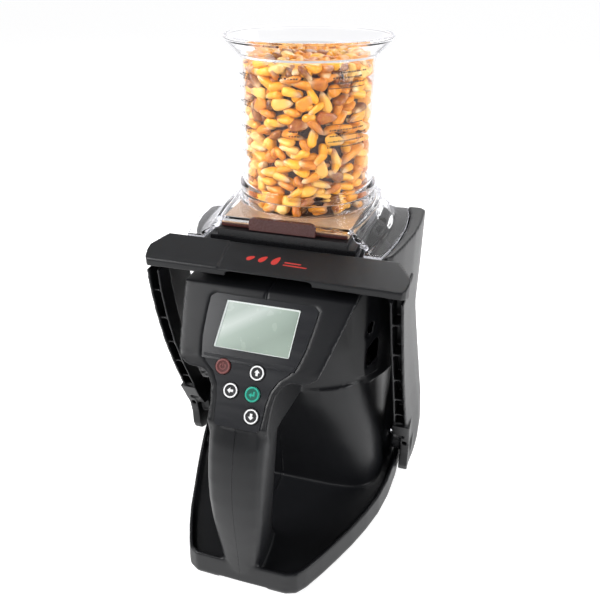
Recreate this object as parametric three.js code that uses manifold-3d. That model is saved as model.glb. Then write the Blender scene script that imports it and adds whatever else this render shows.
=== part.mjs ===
// Hand-held grain moisture meter with a clear loading cup.
// Millimetres, +Z up, front (display side) at -Y. The inner group has its origin on the cup axis;
// the outer group shifts it so that the origin is the bottom centre of the whole object.
import * as THREE from 'three';
import { mergeVertices } from 'three/addons/utils/BufferGeometryUtils.js';
import Module from 'manifold-3d';

const wasm = await Module();
wasm.setup();

// ---------------------------------------------------------------- driving dimensions
const CUP_AXIS_Y = 39.8;        // cup axis, measured from the middle of the footprint
const WALL = 2.5;               // moulded wall thickness of the black shells
const SEAM = 0.15;              // half of the gap between the two shell halves
const GAP = 0.3;                // gap between pieces that touch
const GROUND = 3.0;             // height of the working datum above the floor
const SHELL_Z0 = -2.0;          // underside of the shell, the feet stand 1 mm proud
const RIM_Z = 14.5;             // top of the base rim
const FLOOR_Z = 9.0;            // top of the dish floor
const HOUSING_R = 67;           // round test cell housing
const HOUSING_Y = -5;           // its centre, from the cup axis
const HOUSING_Z0 = 88;          // its lower lip
const TOP_Z = 178.8;            // top edge of the upper housing
const DECK_Z = 175.6;           // top face of the deck
const REAR_Y = 62.2;            // back of the housing
const HEAD_HALF = 49;           // half width of the display head
const LCD_SLOPE = 36.4;         // slope of the display plane, degrees below horizontal
const LCD_TOP = [-84.2, 156.4]; // y, z of the upper edge of the display opening
const LCD_HALF = 20.8;          // half width of the display opening
const LCD_LEN = 27.5;           // its length down the slope
const OVERLAY_KNEE = 33.0;      // distance down the slope where the keypad turns steeper
const KEY_R = 4.15;             // key radius
const KEY_TRAVEL = 0.6;         // key travel
const PIVOT = [-13, 27];        // y, z of the bail pivot
const PIVOT_R = 3;              // pivot pin radius
const CELL_R = 35.5;            // inside radius of the test cell
const CELL_Z0 = 92.0;           // inside floor of the test cell
const THROAT_R = 36.8;          // grain passage
const SHUTTER_Z = [184.0, 186.0];
const CUP_R = 39.0;             // outside radius of the cup wall
const CUP_WALL = 2.2;
const CUP_TOP_Z = 281.5;
const CUP_RIM_R = 47.0;
const GRAIN_TOP_Z = 267.4;

// ---------------------------------------------------------------- helpers
const V2 = (p) => new THREE.Vector2(p[0], p[1]);
const shape = (pts) => new THREE.Shape(pts.map(V2));

function clean(geometry) {
  const g0 = geometry.clone();
  g0.deleteAttribute('normal');
  g0.deleteAttribute('uv');
  const g = mergeVertices(g0, 1e-4);
  const idx = g.index.array;
  const pos = g.attributes.position;
  const keep = [];
  for (let i = 0; i < idx.length; i += 3) {
    const [a, b, c] = [idx[i], idx[i + 1], idx[i + 2]];
    if (a !== b && b !== c && a !== c) keep.push(a, b, c);
  }
  let vol = 0;
  const A = new THREE.Vector3(), B = new THREE.Vector3(), C = new THREE.Vector3();
  for (let i = 0; i < keep.length; i += 3) {
    A.fromBufferAttribute(pos, keep[i]); B.fromBufferAttribute(pos, keep[i + 1]); C.fromBufferAttribute(pos, keep[i + 2]);
    vol += A.dot(B.cross(C));
  }
  if (vol < 0) for (let i = 0; i < keep.length; i += 3) [keep[i], keep[i + 1]] = [keep[i + 1], keep[i]];
  g.setIndex(keep);
  return g;
}
function solid(geometry) {
  const g = clean(geometry);
  return new wasm.Manifold(new wasm.Mesh({
    numProp: 3,
    vertProperties: new Float32Array(g.attributes.position.array),
    triVerts: new Uint32Array(g.index.array),
  }));
}
function geometryOf(manifold) {
  const m = manifold.getMesh();
  const g = new THREE.BufferGeometry();
  const pos = new Float32Array(m.numVert * 3);
  for (let i = 0; i < m.numVert; i++) for (let k = 0; k < 3; k++) pos[i * 3 + k] = m.vertProperties[i * m.numProp + k];
  g.setAttribute('position', new THREE.BufferAttribute(pos, 3));
  g.setIndex(Array.from(m.triVerts));
  return g;
}
const join = (...parts) => parts.reduce((a, b) => a.add(b));
const cut = (a, ...tools) => tools.reduce((s, t) => s.subtract(t), a);

function box(x0, x1, y0, y1, z0, z1) {
  const g = new THREE.BoxGeometry(x1 - x0, y1 - y0, z1 - z0);
  g.translate((x0 + x1) / 2, (y0 + y1) / 2, (z0 + z1) / 2);
  return g;
}
function cylZ(r, z0, z1, x = 0, y = 0, seg = 48, rTop = r) {
  const g = new THREE.CylinderGeometry(rTop, r, z1 - z0, seg);
  g.rotateX(Math.PI / 2);
  g.translate(x, y, (z0 + z1) / 2);
  return g;
}
function cylX(r, x0, x1, y, z, seg = 32, rEnd = r) {
  const g = new THREE.CylinderGeometry(rEnd, r, x1 - x0, seg);
  g.rotateZ(-Math.PI / 2);
  g.translate((x0 + x1) / 2, y, z);
  return g;
}
function cylY(r, y0, y1, x, z, seg = 32) {
  const g = new THREE.CylinderGeometry(r, r, y1 - y0, seg);
  g.translate(x, (y0 + y1) / 2, z);
  return g;
}
// extrusions of a drawn outline: plan (x, y) upwards, side view (y, z) along X, front view (x, z) along Y
function extrudeZ(pts, z0, z1) {
  const g = new THREE.ExtrudeGeometry(shape(pts), { depth: z1 - z0, bevelEnabled: false });
  g.translate(0, 0, z0);
  return g;
}
function extrudeX(pts, x0, x1) {
  const g = new THREE.ExtrudeGeometry(shape(pts), { depth: x1 - x0, bevelEnabled: false });
  g.applyMatrix4(new THREE.Matrix4().set(0, 0, 1, x0, 1, 0, 0, 0, 0, 1, 0, 0, 0, 0, 0, 1));
  return g;
}
function extrudeY(pts, y0, y1) {
  const g = new THREE.ExtrudeGeometry(shape(pts), { depth: y1 - y0, bevelEnabled: false });
  g.applyMatrix4(new THREE.Matrix4().set(1, 0, 0, 0, 0, 0, -1, y1, 0, 1, 0, 0, 0, 0, 0, 1));
  return g;
}
// an extrusion whose outline changes from level to level: outline(i) gives the points at level i
function loft(levels, outline) {
  const n = levels.length;
  const ref = outline(0);
  const g = new THREE.ExtrudeGeometry(shape(ref), { depth: n - 1, steps: n - 1, bevelEnabled: false });
  const rings = levels.map((_, i) => outline(i));
  const pos = g.attributes.position;
  for (let i = 0; i < pos.count; i++) {
    const x = pos.getX(i), y = pos.getY(i), lv = Math.round(pos.getZ(i));
    let best = 0, bd = Infinity;
    ref.forEach((p, k) => { const d = (p[0] - x) ** 2 + (p[1] - y) ** 2; if (d < bd) { bd = d; best = k; } });
    const q = rings[lv][best];
    pos.setXYZ(i, q[0], q[1], levels[lv]);
  }
  return g;
}
function lathe(profile, seg = 56, x = 0, y = 0) {
  const g = new THREE.LatheGeometry(profile.map(V2), seg);
  g.rotateX(Math.PI / 2);
  g.translate(x, y, 0);
  return g;
}
const mirrorPts = (half) => half.concat(half.slice().reverse().filter((p) => Math.abs(p[0]) > 1e-6).map((p) => [-p[0], p[1]]));
// rounds the corners of an outline; r may be one number or one per corner
function rounded(pts, r, seg = 3) {
  const out = [];
  const n = pts.length;
  for (let i = 0; i < n; i++) {
    const rad = Array.isArray(r) ? r[i] : r;
    const p = V2(pts[i]), a = V2(pts[(i + n - 1) % n]).sub(p), b = V2(pts[(i + 1) % n]).sub(p);
    if (!rad) { out.push([p.x, p.y]); continue; }
    const la = a.length(), lb = b.length();
    a.normalize(); b.normalize();
    const ang = Math.acos(Math.min(1, Math.max(-1, a.dot(b))));
    const t = Math.min(rad / Math.tan(ang / 2), la * 0.48, lb * 0.48);
    for (let k = 0; k <= seg; k++) {
      const u = k / seg;
      const p0 = p.clone().addScaledVector(a, t), p1 = p.clone().addScaledVector(b, t);
      const x = (1 - u) ** 2 * p0.x + 2 * u * (1 - u) * p.x + u * u * p1.x;
      const y = (1 - u) ** 2 * p0.y + 2 * u * (1 - u) * p.y + u * u * p1.y;
      out.push([x, y]);
    }
  }
  return out;
}
// moves every edge of a simple outline inwards by d
function inset(pts, d) {
  const n = pts.length;
  let area = 0;
  for (let i = 0; i < n; i++) { const [x0, y0] = pts[i], [x1, y1] = pts[(i + 1) % n]; area += x0 * y1 - x1 * y0; }
  const s = area > 0 ? 1 : -1;
  return pts.map((p, i) => {
    const a = pts[(i + n - 1) % n], b = pts[(i + 1) % n];
    let e1 = V2([p[0] - a[0], p[1] - a[1]]).normalize(), e2 = V2([b[0] - p[0], b[1] - p[1]]).normalize();
    const n1 = [-e1.y * s, e1.x * s], n2 = [-e2.y * s, e2.x * s];
    let mx = n1[0] + n2[0], my = n1[1] + n2[1];
    const l2 = mx * mx + my * my;
    const k = (2 * d) / Math.max(l2, 1.0);
    return [p[0] + mx * k, p[1] + my * k];
  });
}
const lerp = (a, b, t) => a + (b - a) * t;
function table(rows, z) { // piecewise linear look-up, rows of [z, value]
  if (z <= rows[0][0]) return rows[0][1];
  for (let i = 1; i < rows.length; i++) if (z <= rows[i][0]) return lerp(rows[i - 1][1], rows[i][1], (z - rows[i - 1][0]) / (rows[i][0] - rows[i - 1][0]));
  return rows[rows.length - 1][1];
}

// ---------------------------------------------------------------- scene
const outer = new THREE.Group();
const meter = new THREE.Group();
meter.position.set(0, CUP_AXIS_Y, GROUND);
outer.add(meter);
const FINISH = {
  shell: { color: 0x2b2d30, roughness: 0.62, metalness: 0.0 },
  bail: { color: 0x26282a, roughness: 0.6, metalness: 0.0 },
  dark: { color: 0x1d1f21, roughness: 0.55, metalness: 0.0 },
  overlay: { color: 0x34373c, roughness: 0.3, metalness: 0.0 },
  clear: { color: 0xe6e8f0, roughness: 0.08, metalness: 0.0 },
  grain: { color: 0xd99a35, roughness: 0.6, metalness: 0.0 },
  shutter: { color: 0x3a2222, roughness: 0.4, metalness: 0.0 },
  lcd: { color: 0xcfdcd2, roughness: 0.2, metalness: 0.0 },
  red: { color: 0xa85a55, roughness: 0.45, metalness: 0.0 },
  white: { color: 0xd8d8d8, roughness: 0.5, metalness: 0.0 },
  green: { color: 0x1f9d80, roughness: 0.45, metalness: 0.0 },
  steel: { color: 0xb8bcc0, roughness: 0.35, metalness: 1.0 },
  alu: { color: 0xc4c8cc, roughness: 0.4, metalness: 1.0 },
  brass: { color: 0xb08d4a, roughness: 0.35, metalness: 1.0 },
  rubber: { color: 0x1a1a1a, roughness: 0.85, metalness: 0.0 },
  board: { color: 0x1f5a38, roughness: 0.5, metalness: 0.0 },
  cell: { color: 0x8f9498, roughness: 0.4, metalness: 0.0 },
  battery: { color: 0x3b6fa0, roughness: 0.4, metalness: 0.2 },
};
function add(name, part, finish, parent = meter) {
  const g = part.isBufferGeometry ? clean(part) : geometryOf(part);
  g.computeVertexNormals();
  const mesh = new THREE.Mesh(g, new THREE.MeshStandardMaterial(FINISH[finish]));
  mesh.name = name;
  parent.add(mesh);
  return mesh;
}
function mirrored(part) {
  const g = geometryOf(part);
  g.applyMatrix4(new THREE.Matrix4().makeScale(-1, 1, 1));
  const idx = g.index.array;
  for (let i = 0; i < idx.length; i += 3) [idx[i], idx[i + 1]] = [idx[i + 1], idx[i]];
  return solid(g);
}

// ---------------------------------------------------------------- frame of the display plane
const SL = THREE.MathUtils.degToRad(LCD_SLOPE);
const DOWN = [-Math.cos(SL), -Math.sin(SL)];   // y, z down the display slope
const NORM = [-Math.sin(SL), Math.cos(SL)];    // y, z out of the display plane
const onSlope = (s, h = 0) => [LCD_TOP[0] + DOWN[0] * s + NORM[0] * h, LCD_TOP[1] + DOWN[1] * s + NORM[1] * h];
const KNEE = onSlope(OVERLAY_KNEE);
const TOE = [-130.0, 110.0];                   // lower end of the keypad face
const KLEN = Math.hypot(TOE[0] - KNEE[0], TOE[1] - KNEE[1]);
const KDOWN = [(TOE[0] - KNEE[0]) / KLEN, (TOE[1] - KNEE[1]) / KLEN];
const KNORM = [KDOWN[1], -KDOWN[0]];
const onKeypad = (s, h = 0) => [KNEE[0] + KDOWN[0] * s + KNORM[0] * h, KNEE[1] + KDOWN[1] * s + KNORM[1] * h];

// ---------------------------------------------------------------- body shell
// plan of the base at the rim, front to back; the right side is a little fuller than the left
const BASE_RIGHT = [[0, -138.6], [27.5, -138.2], [33.6, -136.0], [38.2, -130.5], [44.6, -119.5], [50.6, -108], [57.2, -94.5], [63.2, -80], [68.2, -65], [71.6, -48], [73.4, -28], [73.6, -8], [71.4, 12], [64.4, 32], [52.0, 48.5], [34, 58.2], [16, 61.6], [0, REAR_Y]];
const BASE_LEFT = [[-16, 61.6], [-34, 58.2], [-52, 48.5], [-64.4, 32], [-71.4, 12], [-73.2, -8], [-70.5, -26], [-66.2, -43], [-61.2, -60], [-56.2, -76], [-51.4, -90.5], [-46.4, -106], [-41.4, -118.5], [-36.0, -130], [-33.0, -135.2], [-27.5, -138.2]];
const BASE = [...BASE_RIGHT, ...BASE_LEFT];
const baseAt = (d) => inset(BASE, d);
function baseBlock(d, z0, z1, d2 = d) {
  return loft([z0, z1], (i) => baseAt(i ? d2 : d));
}
// handle column, from the dish floor to the display head
const COLUMN_FRONT = [[0, -137.3], [9, -138.6], [22, -139.2], [35.8, -140.4], [51.1, -141.5], [64.9, -141.8], [77.1, -140.9], [88, -138.9], [97.6, -136.1], [105.9, -132.6], [112, -128.0], [118, -122.5]];
const COLUMN_BACK = [[0, -99], [9, -101.5], [20, -108.5], [35, -112.5], [55, -112.5], [75, -109], [90, -105.5], [100, -103], [118, -100]];
const COLUMN_HALF = [[0, 10.8], [9, 11.0], [20, 12.4], [35, 14.2], [55, 15.9], [80, 16.4], [118, 16.4]];
const COLUMN_LEVELS = [7.5, 14, 24, 36, 50, 65, 78, 90, 100, 108, 113, 118];
const columnSection = (z, d) => {
  const f = table(COLUMN_FRONT, z) + d, b = table(COLUMN_BACK, z) - d, w = table(COLUMN_HALF, z) - d;
  const c = [[0, f], [w * 0.42, f + 0.35], [w * 0.74, f + 1.6], [w * 0.93, f + 4.4], [w, f + 9.5], [w, lerp(f, b, 0.6)], [w * 0.9, b - 4.6], [w * 0.6, b - 1.2], [0, b]];
  return mirrorPts(c);
};
const column = (d, z0, z1) => {
  const zs = [z0, ...COLUMN_LEVELS.filter((z) => z > z0 + 1 && z < z1 - 1), z1];
  return loft(zs, (i) => columnSection(zs[i], d));
};
// neck, roughly round, its front leaning forward as it rises
const NECK_FRONT = [[0, -57.5], [11, -58.6], [32, -59.6], [57, -64.0], [80, -69.5], [95, -71.0]];
const NECK_LEVELS = [7.5, 13, 20, 34, 57, 80, 95];
const neckSection = (z, d, n = 36) => {
  const f = -table(NECK_FRONT, z), pts = [];
  for (let k = 0; k < n; k++) {
    const t = (k / n) * Math.PI * 2 - Math.PI / 2;
    const c = Math.cos(t), s = Math.sin(t);
    const hw = table([[8, 64.0], [13, 63.0], [20, 62.0], [45, 61.0], [80, 58.8], [95, 58.2]], z);
    const e = Math.max(table([[8, 0.33], [20, 0.38], [45, 0.46], [80, 0.64], [95, 0.7]], z), s > 0 ? 0.44 : 0);
    const x = (hw - d) * Math.sign(c) * Math.pow(Math.abs(c), e);
    const y = s < 0 ? -(f - d) * Math.pow(-s, e) : (56 - d) * Math.pow(s, 0.8);
    pts.push([x, y]);
  }
  return pts;
};
const neck = (d, z0, z1) => {
  const zs = [z0, ...NECK_LEVELS.filter((z) => z > z0 + 1 && z < z1 - 1), z1];
  return loft(zs, (i) => neckSection(zs[i], d));
};
// upper housing: a round barrel that closes in to the inlet collar, a square shoulder in front
// that carries the head and the loader, and a bay on the right side
const barrel = (d) => {
  const p = [[0, HOUSING_Z0], [HOUSING_R - 1.2, HOUSING_Z0], [HOUSING_R, HOUSING_Z0 + 1.4], [66.4, 118], [64.6, 134], [60.6, 148], [54.4, 159], [48.0, 166.5], [44.6, 171], [43.8, DECK_Z], [0, DECK_Z]];
  const q = d ? [[0, HOUSING_Z0 + d], [HOUSING_R - d, HOUSING_Z0 + d], [66.4 - d, 118], [64.6 - d, 133.5], [60.6 - d, 146.5], [54.0 - d, 157], [47.4 - d, 164], [44.0 - d, 169.5], [41.2, 172.4], [0, 172.4]] : p;
  const g = lathe(q, 60);
  const pos = g.attributes.position;
  for (let i = 0; i < pos.count; i++) {
    const z = pos.getZ(i);
    pos.setY(i, pos.getY(i) + HOUSING_Y * (1 - THREE.MathUtils.smoothstep(z, 116, 172)));
  }
  return solid(g);
};
const SHOULDER = (d) => mirrorPts([[0, -55.6 + d], [43 - d, -55.6 + d], [50.5 - d, -51.5 + d], [56.2 - d * 0.9, -43.5 + d * 0.5], [60 - d, -32], [62.2 - d, -20], [62.4 - d, -7], [59.6 - d, -3.6 - d], [0, -3.6 - d]]);
const shoulder = (d) => solid(extrudeZ(SHOULDER(d), 96, DECK_Z - d));
const BAY = (d) => [[44, -54 + d], [59.5 - d, -54 + d], [62.4 - d, -50 + d], [66.4 - d, -34], [70.0 - d, -14], [71.2 - d, 4], [71.0 - d, 24 - d], [68 - d, 27.4 - d], [44, 27.4 - d]];
const bay = (d) => solid(extrudeZ(BAY(d), 88, TOP_Z - 0.6 - d)).intersect(
  solid(extrudeX([[-60, 190], [-54 + d, 172], [-44 + d, 160], [-32 + d, 138], [-23 + d, 112], [-15 + d, 98 + d], [6, 91.5 + d], [14.5 - d * 0.5, 93 + d], [19 - d, 102], [28.6 - d, 171], [28.6 - d, 190]], 30, 80)));
// display head
const HEAD_SIDE = (d) => {
  const p = [[-50, 161.0], onSlope(-8.4, 0), KNEE, TOE, [-127.5, 101.5], [-103, 97.5], [-86, 94], [-66, 90.5], [-50, 90.5]];
  return d ? inset(p, d) : p;
};
const HEAD_FRONT = (d) => {
  const half = [[0, 170], [49.0, 170], [49.0, 161.5], [46.0, 153.5], [43.2, 147], [40.0, 139.0], [37.6, 134.2], [33.8, 131.6], [25.0, 130.9], [20.6, 129.0], [17.6, 124.5], [16.4, 118], [16.4, 88], [0, 88]];
  const full = mirrorPts(half);
  return d ? inset(full, d) : full;
};
const head = (d) => solid(extrudeX(HEAD_SIDE(d), -60, 60)).intersect(solid(extrudeY(HEAD_FRONT(d), -150, -48)));

let outerBody = join(
  solid(baseBlock(0.9, SHELL_Z0, 1.0, 0)),
  solid(baseBlock(0, 1.0 - 0.01, RIM_Z, 0.8)),
);
// dish: floor inside the rim
outerBody = cut(outerBody, solid(baseBlock(3.6, FLOOR_Z, RIM_Z + 1, 3.0)));
// finger notch under the front edge, between two pads
outerBody = cut(outerBody, solid(extrudeY([[-14.5, -6], [-13.2, -0.2], [16.0, -0.2], [17.2, -6]], -150, -128)));
const upper = join(barrel(0), shoulder(0), bay(0), solid(neck(0, FLOOR_Z - 1.5, 93)), solid(column(0, FLOOR_Z - 1.5, 118)), head(0));
outerBody = outerBody.add(upper);
// pillars beside the neck that carry the bail pivots; the right one runs up into the side bay
const PILLAR_LEVELS = [7.5, 22, 34, 46, 60, 76, 93];
const pillarFront = (z) => table([[7.5, -27], [22, -26], [34, -23.5], [46, -14], [60, -3], [76, 5], [93, 10]], z);
const pillar = (d, right) => loft(PILLAR_LEVELS, (i) => {
  const z = PILLAR_LEVELS[i], f = pillarFront(z) + d, x = (right ? 66.6 : table([[7.5, 66.6], [34, 66.6], [60, 64.8], [76, 61.5], [93, 56.5]], z)) - d;
  const r = Math.min(24 - d, f + 40);
  return [[36 + d, f + 1], [x - 15, f], [x - 4.5, f + 3.4], [x, f + 9.4], [x, Math.max(f + 11, 11)], [x - 5.4, r + 1], [x - 16, r + 12], [36 + d, r + 17 - d]];
});
outerBody = outerBody.add(solid(pillar(0, true))).add(mirrored(solid(pillar(0, false))));
// rabbet for the bail bar in front of the upper housing
outerBody = cut(outerBody, solid(box(-90, 90, -90, -55.6, 161.2, 200)));
// inside
const inner = join(
  solid(pillar(WALL, true)),
  mirrored(solid(pillar(WALL, false))),
  solid(baseBlock(WALL + 0.6, SHELL_Z0 - 2, FLOOR_Z - WALL, WALL)),
  solid(neck(WALL, SHELL_Z0 - 1, 93)),
  barrel(WALL),
  shoulder(WALL),
  bay(WALL),
  head(2.2),
  solid(column(2.2, SHELL_Z0 + 2, 118)),
);
let shell = cut(outerBody, inner, solid(cylZ(39.2, 165, 180, 0, 0, 56)));
// display window and circuit openings in the head face
const slopeBox = (x0, x1, s0, s1, h0, h1) => {
  const a = onSlope(s0, h0), b = onSlope(s1, h0), c = onSlope(s1, h1), e = onSlope(s0, h1);
  return extrudeX([a, b, c, e], x0, x1);
};
const padBox = (x0, x1, s0, s1, h0, h1) => {
  const a = onKeypad(s0, h0), b = onKeypad(s1, h0), c = onKeypad(s1, h1), e = onKeypad(s0, h1);
  return extrudeX([a, b, c, e], x0, x1);
};
shell = cut(shell, solid(slopeBox(-22.5, 22.5, -1.5, 29.0, -6, 3)));
// keypad overlay recess, 1 mm deep, with the outline of the overlay
const OVL_S = OVERLAY_KNEE;
const OVERLAY_TOP = [[0, -3.0], [27.6, -3.0], [30.4, -0.6], [29.6, 10], [28.2, 22], [26.6, 28.5], [24.6, 33.5], [24.3, OVL_S]];
function overlaySolid(d, h0, h1) {
  const topHalf = OVERLAY_TOP.map(([x, s]) => [x ? Math.max(x - d, 0) : 0, s < 0 ? s + d : s]).filter((p) => p[1] <= OVL_S);
  const pts = mirrorPts([...topHalf.slice(0, 6), [25.0 - d, OVL_S + 1.2], [0, OVL_S + 1.2]]);
  const upperPart = new THREE.ExtrudeGeometry(shape(pts.map(([x, s]) => [x, s])), { depth: h1 - h0, bevelEnabled: false });
  // local x -> X, local y -> down the slope, local z -> into or out of the face
  const m = new THREE.Matrix4().set(1, 0, 0, 0, 0, DOWN[0], NORM[0], onSlope(0, h0)[0], 0, DOWN[1], NORM[1], onSlope(0, h0)[1], 0, 0, 0, 1);
  upperPart.applyMatrix4(m);
  const low = mirrorPts([[0, -1.6], [24.9 - d, -1.6], [22.6 - d, 2.6], [17.6 - d, 7.0], [14.6 - d, 12.5], [13.2 - d, 19.5], [12.3 - d, 32.6 - d], [10.8 - d, 33.8 - d], [0, 33.8 - d]]);
  const lowerPart = new THREE.ExtrudeGeometry(shape(low), { depth: h1 - h0, bevelEnabled: false });
  const m2 = new THREE.Matrix4().set(1, 0, 0, 0, 0, KDOWN[0], KNORM[0], onKeypad(0, h0)[0], 0, KDOWN[1], KNORM[1], onKeypad(0, h0)[1], 0, 0, 0, 1);
  lowerPart.applyMatrix4(m2);
  return join(solid(upperPart), solid(lowerPart));
}
shell = cut(shell, overlaySolid(-0.3, -1.0, 4));
// key wells through the face under the overlay
const KEYS = [
  { name: 'power_key', x: -12.6, s: 4.0, finish: 'red' },
  { name: 'up_key', x: 6.2, s: 4.4, finish: 'white' },
  { name: 'left_key', x: -6.2, s: 15.4, finish: 'white' },
  { name: 'enter_key', x: 5.6, s: 15.4, finish: 'green' },
  { name: 'down_key', x: 7.0, s: 26.4, finish: 'white' },
];
function padCyl(x, s, r, h0, h1, seg = 28) {
  const g = new THREE.CylinderGeometry(r, r, h1 - h0, seg); // along Y
  const c = onKeypad(s, (h0 + h1) / 2);
  const m = new THREE.Matrix4().set(1, 0, 0, x, 0, KNORM[0], -KDOWN[0], c[0], 0, KNORM[1], -KDOWN[1], c[1], 0, 0, 0, 1);
  g.applyMatrix4(m);
  return g;
}
for (const k of KEYS) shell = cut(shell, solid(padCyl(k.x, k.s, 3.5, -8, 2, 12)));

// loader flange outline and its seat in the top of the housing
const FLANGE = (d) => mirrorPts([[0, -55.0 + d], [56.4 - d, -55.0 + d], [59.0 - d, -45], [61.8 - d, -28], [63.2 - d, -8], [62.4 - d, 12], [58.4 - d, 30 - d * 0.5], [50 - d * 0.7, 44.6 - d * 0.7], [37 - d * 0.5, 55.4 - d * 0.8], [19, 61.2 - d], [0, REAR_Y - d]]);
shell = cut(shell, solid(extrudeZ(FLANGE(-0.5), DECK_Z, 200)));
// battery opening in the back of the neck
const DOOR = { x: 29, z0: 20, z1: 78 };
shell = cut(shell, solid(box(-DOOR.x, DOOR.x, 30, 70, DOOR.z0, DOOR.z1)));
// bosses for the pivot pins inside the pillars, and their bores
shell = shell.add(solid(cylX(6.5, 54.5, 65.8, PIVOT[0], PIVOT[1], 20))).add(solid(cylX(6.5, -65.8, -54.5, PIVOT[0], PIVOT[1], 20)));
shell = cut(shell, solid(cylX(PIVOT_R + GAP, 53, 80, PIVOT[0], PIVOT[1], 24)), solid(cylX(PIVOT_R + GAP, -80, -53, PIVOT[0], PIVOT[1], 24)));
// vent slot and inspection window on the right of the barrel
shell = cut(shell,
  solid(extrudeY(rounded([[50.0, 123.6], [52.0, 123.6], [53.6, 133.4], [51.6, 133.4]], 0.9, 3), -75, -30)),
  solid(extrudeY([[50.8, 101.0], [55.8, 105.0], [56.5, 123.0], [51.2, 115.0]], -66, -20)));

const halfSpace = (s) => solid(s > 0 ? box(SEAM, 120, -180, 120, -20, 320) : box(-120, -SEAM, -180, 120, -20, 320));
add('body_shell_right', shell.intersect(halfSpace(1)), 'shell');
add('body_shell_left', shell.intersect(halfSpace(-1)), 'shell');

// ---------------------------------------------------------------- bottom cover, feet, screws
const COVER_Z = [-1.6, 0.4];
const FEET = [['foot_front_left', -22.5, -126], ['foot_front_right', 22.5, -126], ['foot_rear_left', -46, 26], ['foot_rear_right', 46, 26]];
const COVER_SCREWS = [['cover_screw_front_left', -14, -118], ['cover_screw_front_right', 14, -118], ['cover_screw_rear_left', -30, 40], ['cover_screw_rear_right', 30, 40]];
let cover = solid(extrudeZ(baseAt(WALL + 0.6 + GAP), ...COVER_Z));
for (const [, x, y] of COVER_SCREWS) cover = cut(cover, solid(cylZ(1.9, -4, 4, x, y, 10)));
add('bottom_cover', cover, 'shell');
for (const [name, x, y] of FEET) add(name, cylZ(5.6, -GROUND, COVER_Z[0] - GAP, x, y, 16, 6), 'rubber');
for (const [name, x, y] of COVER_SCREWS) {
  add(name, lathe([[0, -2.9], [2.6, -2.9], [3.1, -2.3], [3.1, COVER_Z[0] - GAP], [1.5, COVER_Z[0] - GAP], [1.5, 4.6], [0, 5.4]], 10, x, y), 'steel');
}

// ---------------------------------------------------------------- battery bay in the neck
const doorShape = cut(solid(neck(0, 15, 90)), solid(neck(WALL, 10, 95))).intersect(solid(box(-DOOR.x + GAP, DOOR.x - GAP, 30, 70, DOOR.z0 + GAP, DOOR.z1 - GAP)));
add('battery_door', doorShape, 'shell');
const CELLS = [['battery_1', -22.8], ['battery_2', -7.6], ['battery_3', 7.6], ['battery_4', 22.8]];
let tray = solid(box(-31.5, 31.5, 26.5, 44.5, 17.5, 44));
for (const [, x] of CELLS) tray = cut(tray, solid(cylZ(7.4, 20.2, 60, x, 36, 16)));
tray = cut(tray, solid(box(-30, 30, 38, 60, 26, 60)));
add('battery_tray', tray, 'dark');
for (const [name, x] of CELLS) {
  add(name, lathe([[0, 20.5], [7.05, 20.5], [7.05, 69.2], [2.7, 69.3], [2.7, 70.6], [0, 70.6]], 14, x, 36), 'battery');
}
add('battery_contact_plate', box(-31, 31, 30, 42, 71.0, 71.9), 'brass');

// ---------------------------------------------------------------- weighing cell and test cell
add('chassis_plate', cut(solid(rounded([[-44, -42], [44, -42], [44, 24], [-44, 24]], 6).length ? extrudeZ(rounded([[-44, -42], [44, -42], [44, 24], [-44, 24]], 6), 60, 63) : null), solid(cylZ(6, 50, 70, -34, 10, 20)), solid(cylZ(6, 50, 70, 34, 10, 20))), 'alu');
add('load_cell_foot', box(-34, -18, -8, 8, 63.3, 71.2), 'alu');
add('load_cell', cut(solid(box(-35, 35, -7, 7, 71.5, 84.5)), solid(cylY(4.2, -10, 10, -5, 78, 20)), solid(cylY(4.2, -10, 10, 5, 78, 20)), solid(box(-5, 5, -10, 10, 75.6, 80.4))), 'alu');
add('cell_stand', join(solid(box(18, 34, -8, 8, 84.8, 89)), solid(cylZ(30, 88.9, 91.6, 0, 0, 24))), 'alu');
add('test_cell', lathe([[0, CELL_Z0], [38.4, CELL_Z0], [38.4, 165.0], [36.6, 165.0], [36.6, CELL_Z0 + 2.6], [0, CELL_Z0 + 2.6]], 32), 'cell');
add('ring_electrode', lathe([[CELL_R, CELL_Z0 + 5], [36.3, CELL_Z0 + 5], [36.3, 160], [CELL_R, 160], [CELL_R, CELL_Z0 + 5]], 32), 'brass');
add('floor_electrode', lathe([[0, CELL_Z0 + 2.9], [34.6, CELL_Z0 + 2.9], [34.6, CELL_Z0 + 4.3], [0, CELL_Z0 + 4.3]], 28), 'brass');
add('inlet_ring', lathe([[36.8, 165.4], [38.8, 165.4], [38.8, DECK_Z - 0.1], [37.4, DECK_Z - 0.1], [36.8, 172.5], [36.8, 165.4]], 36), 'dark');
add('temperature_probe', cylY(1.6, -50.5, -39, -12, 118, 14), 'steel');

// ---------------------------------------------------------------- display, keypad, boards
let overlay = overlaySolid(0, -0.75, 0.0);
overlay = cut(overlay, solid(slopeBox(-LCD_HALF, LCD_HALF, 0, LCD_LEN, -3, 3)));
for (const k of KEYS) overlay = cut(overlay, solid(padCyl(k.x, k.s, KEY_R + 0.35, -3, 3, 18)));
add('keypad_overlay', overlay, 'overlay');
add('display_window', slopeBox(-22.2, 22.2, -1.2, 28.7, -2.6, -1.1), 'clear');
function onFace(pts, h0, h1) { // outline in (x, distance down the display slope), between two heights
  const g = new THREE.ExtrudeGeometry(shape(pts), { depth: h1 - h0, bevelEnabled: false });
  g.applyMatrix4(new THREE.Matrix4().set(1, 0, 0, 0, 0, DOWN[0], NORM[0], onSlope(0, h0)[0], 0, DOWN[1], NORM[1], onSlope(0, h0)[1], 0, 0, 0, 1));
  return g;
}
add('display_module', onFace([[-25, -4], [25, -4], [25, 21], [21.2, 25], [21.2, 29.6], [-21.2, 29.6], [-21.2, 25], [-25, 21]], -7.6, -3.0), 'lcd');
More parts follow.
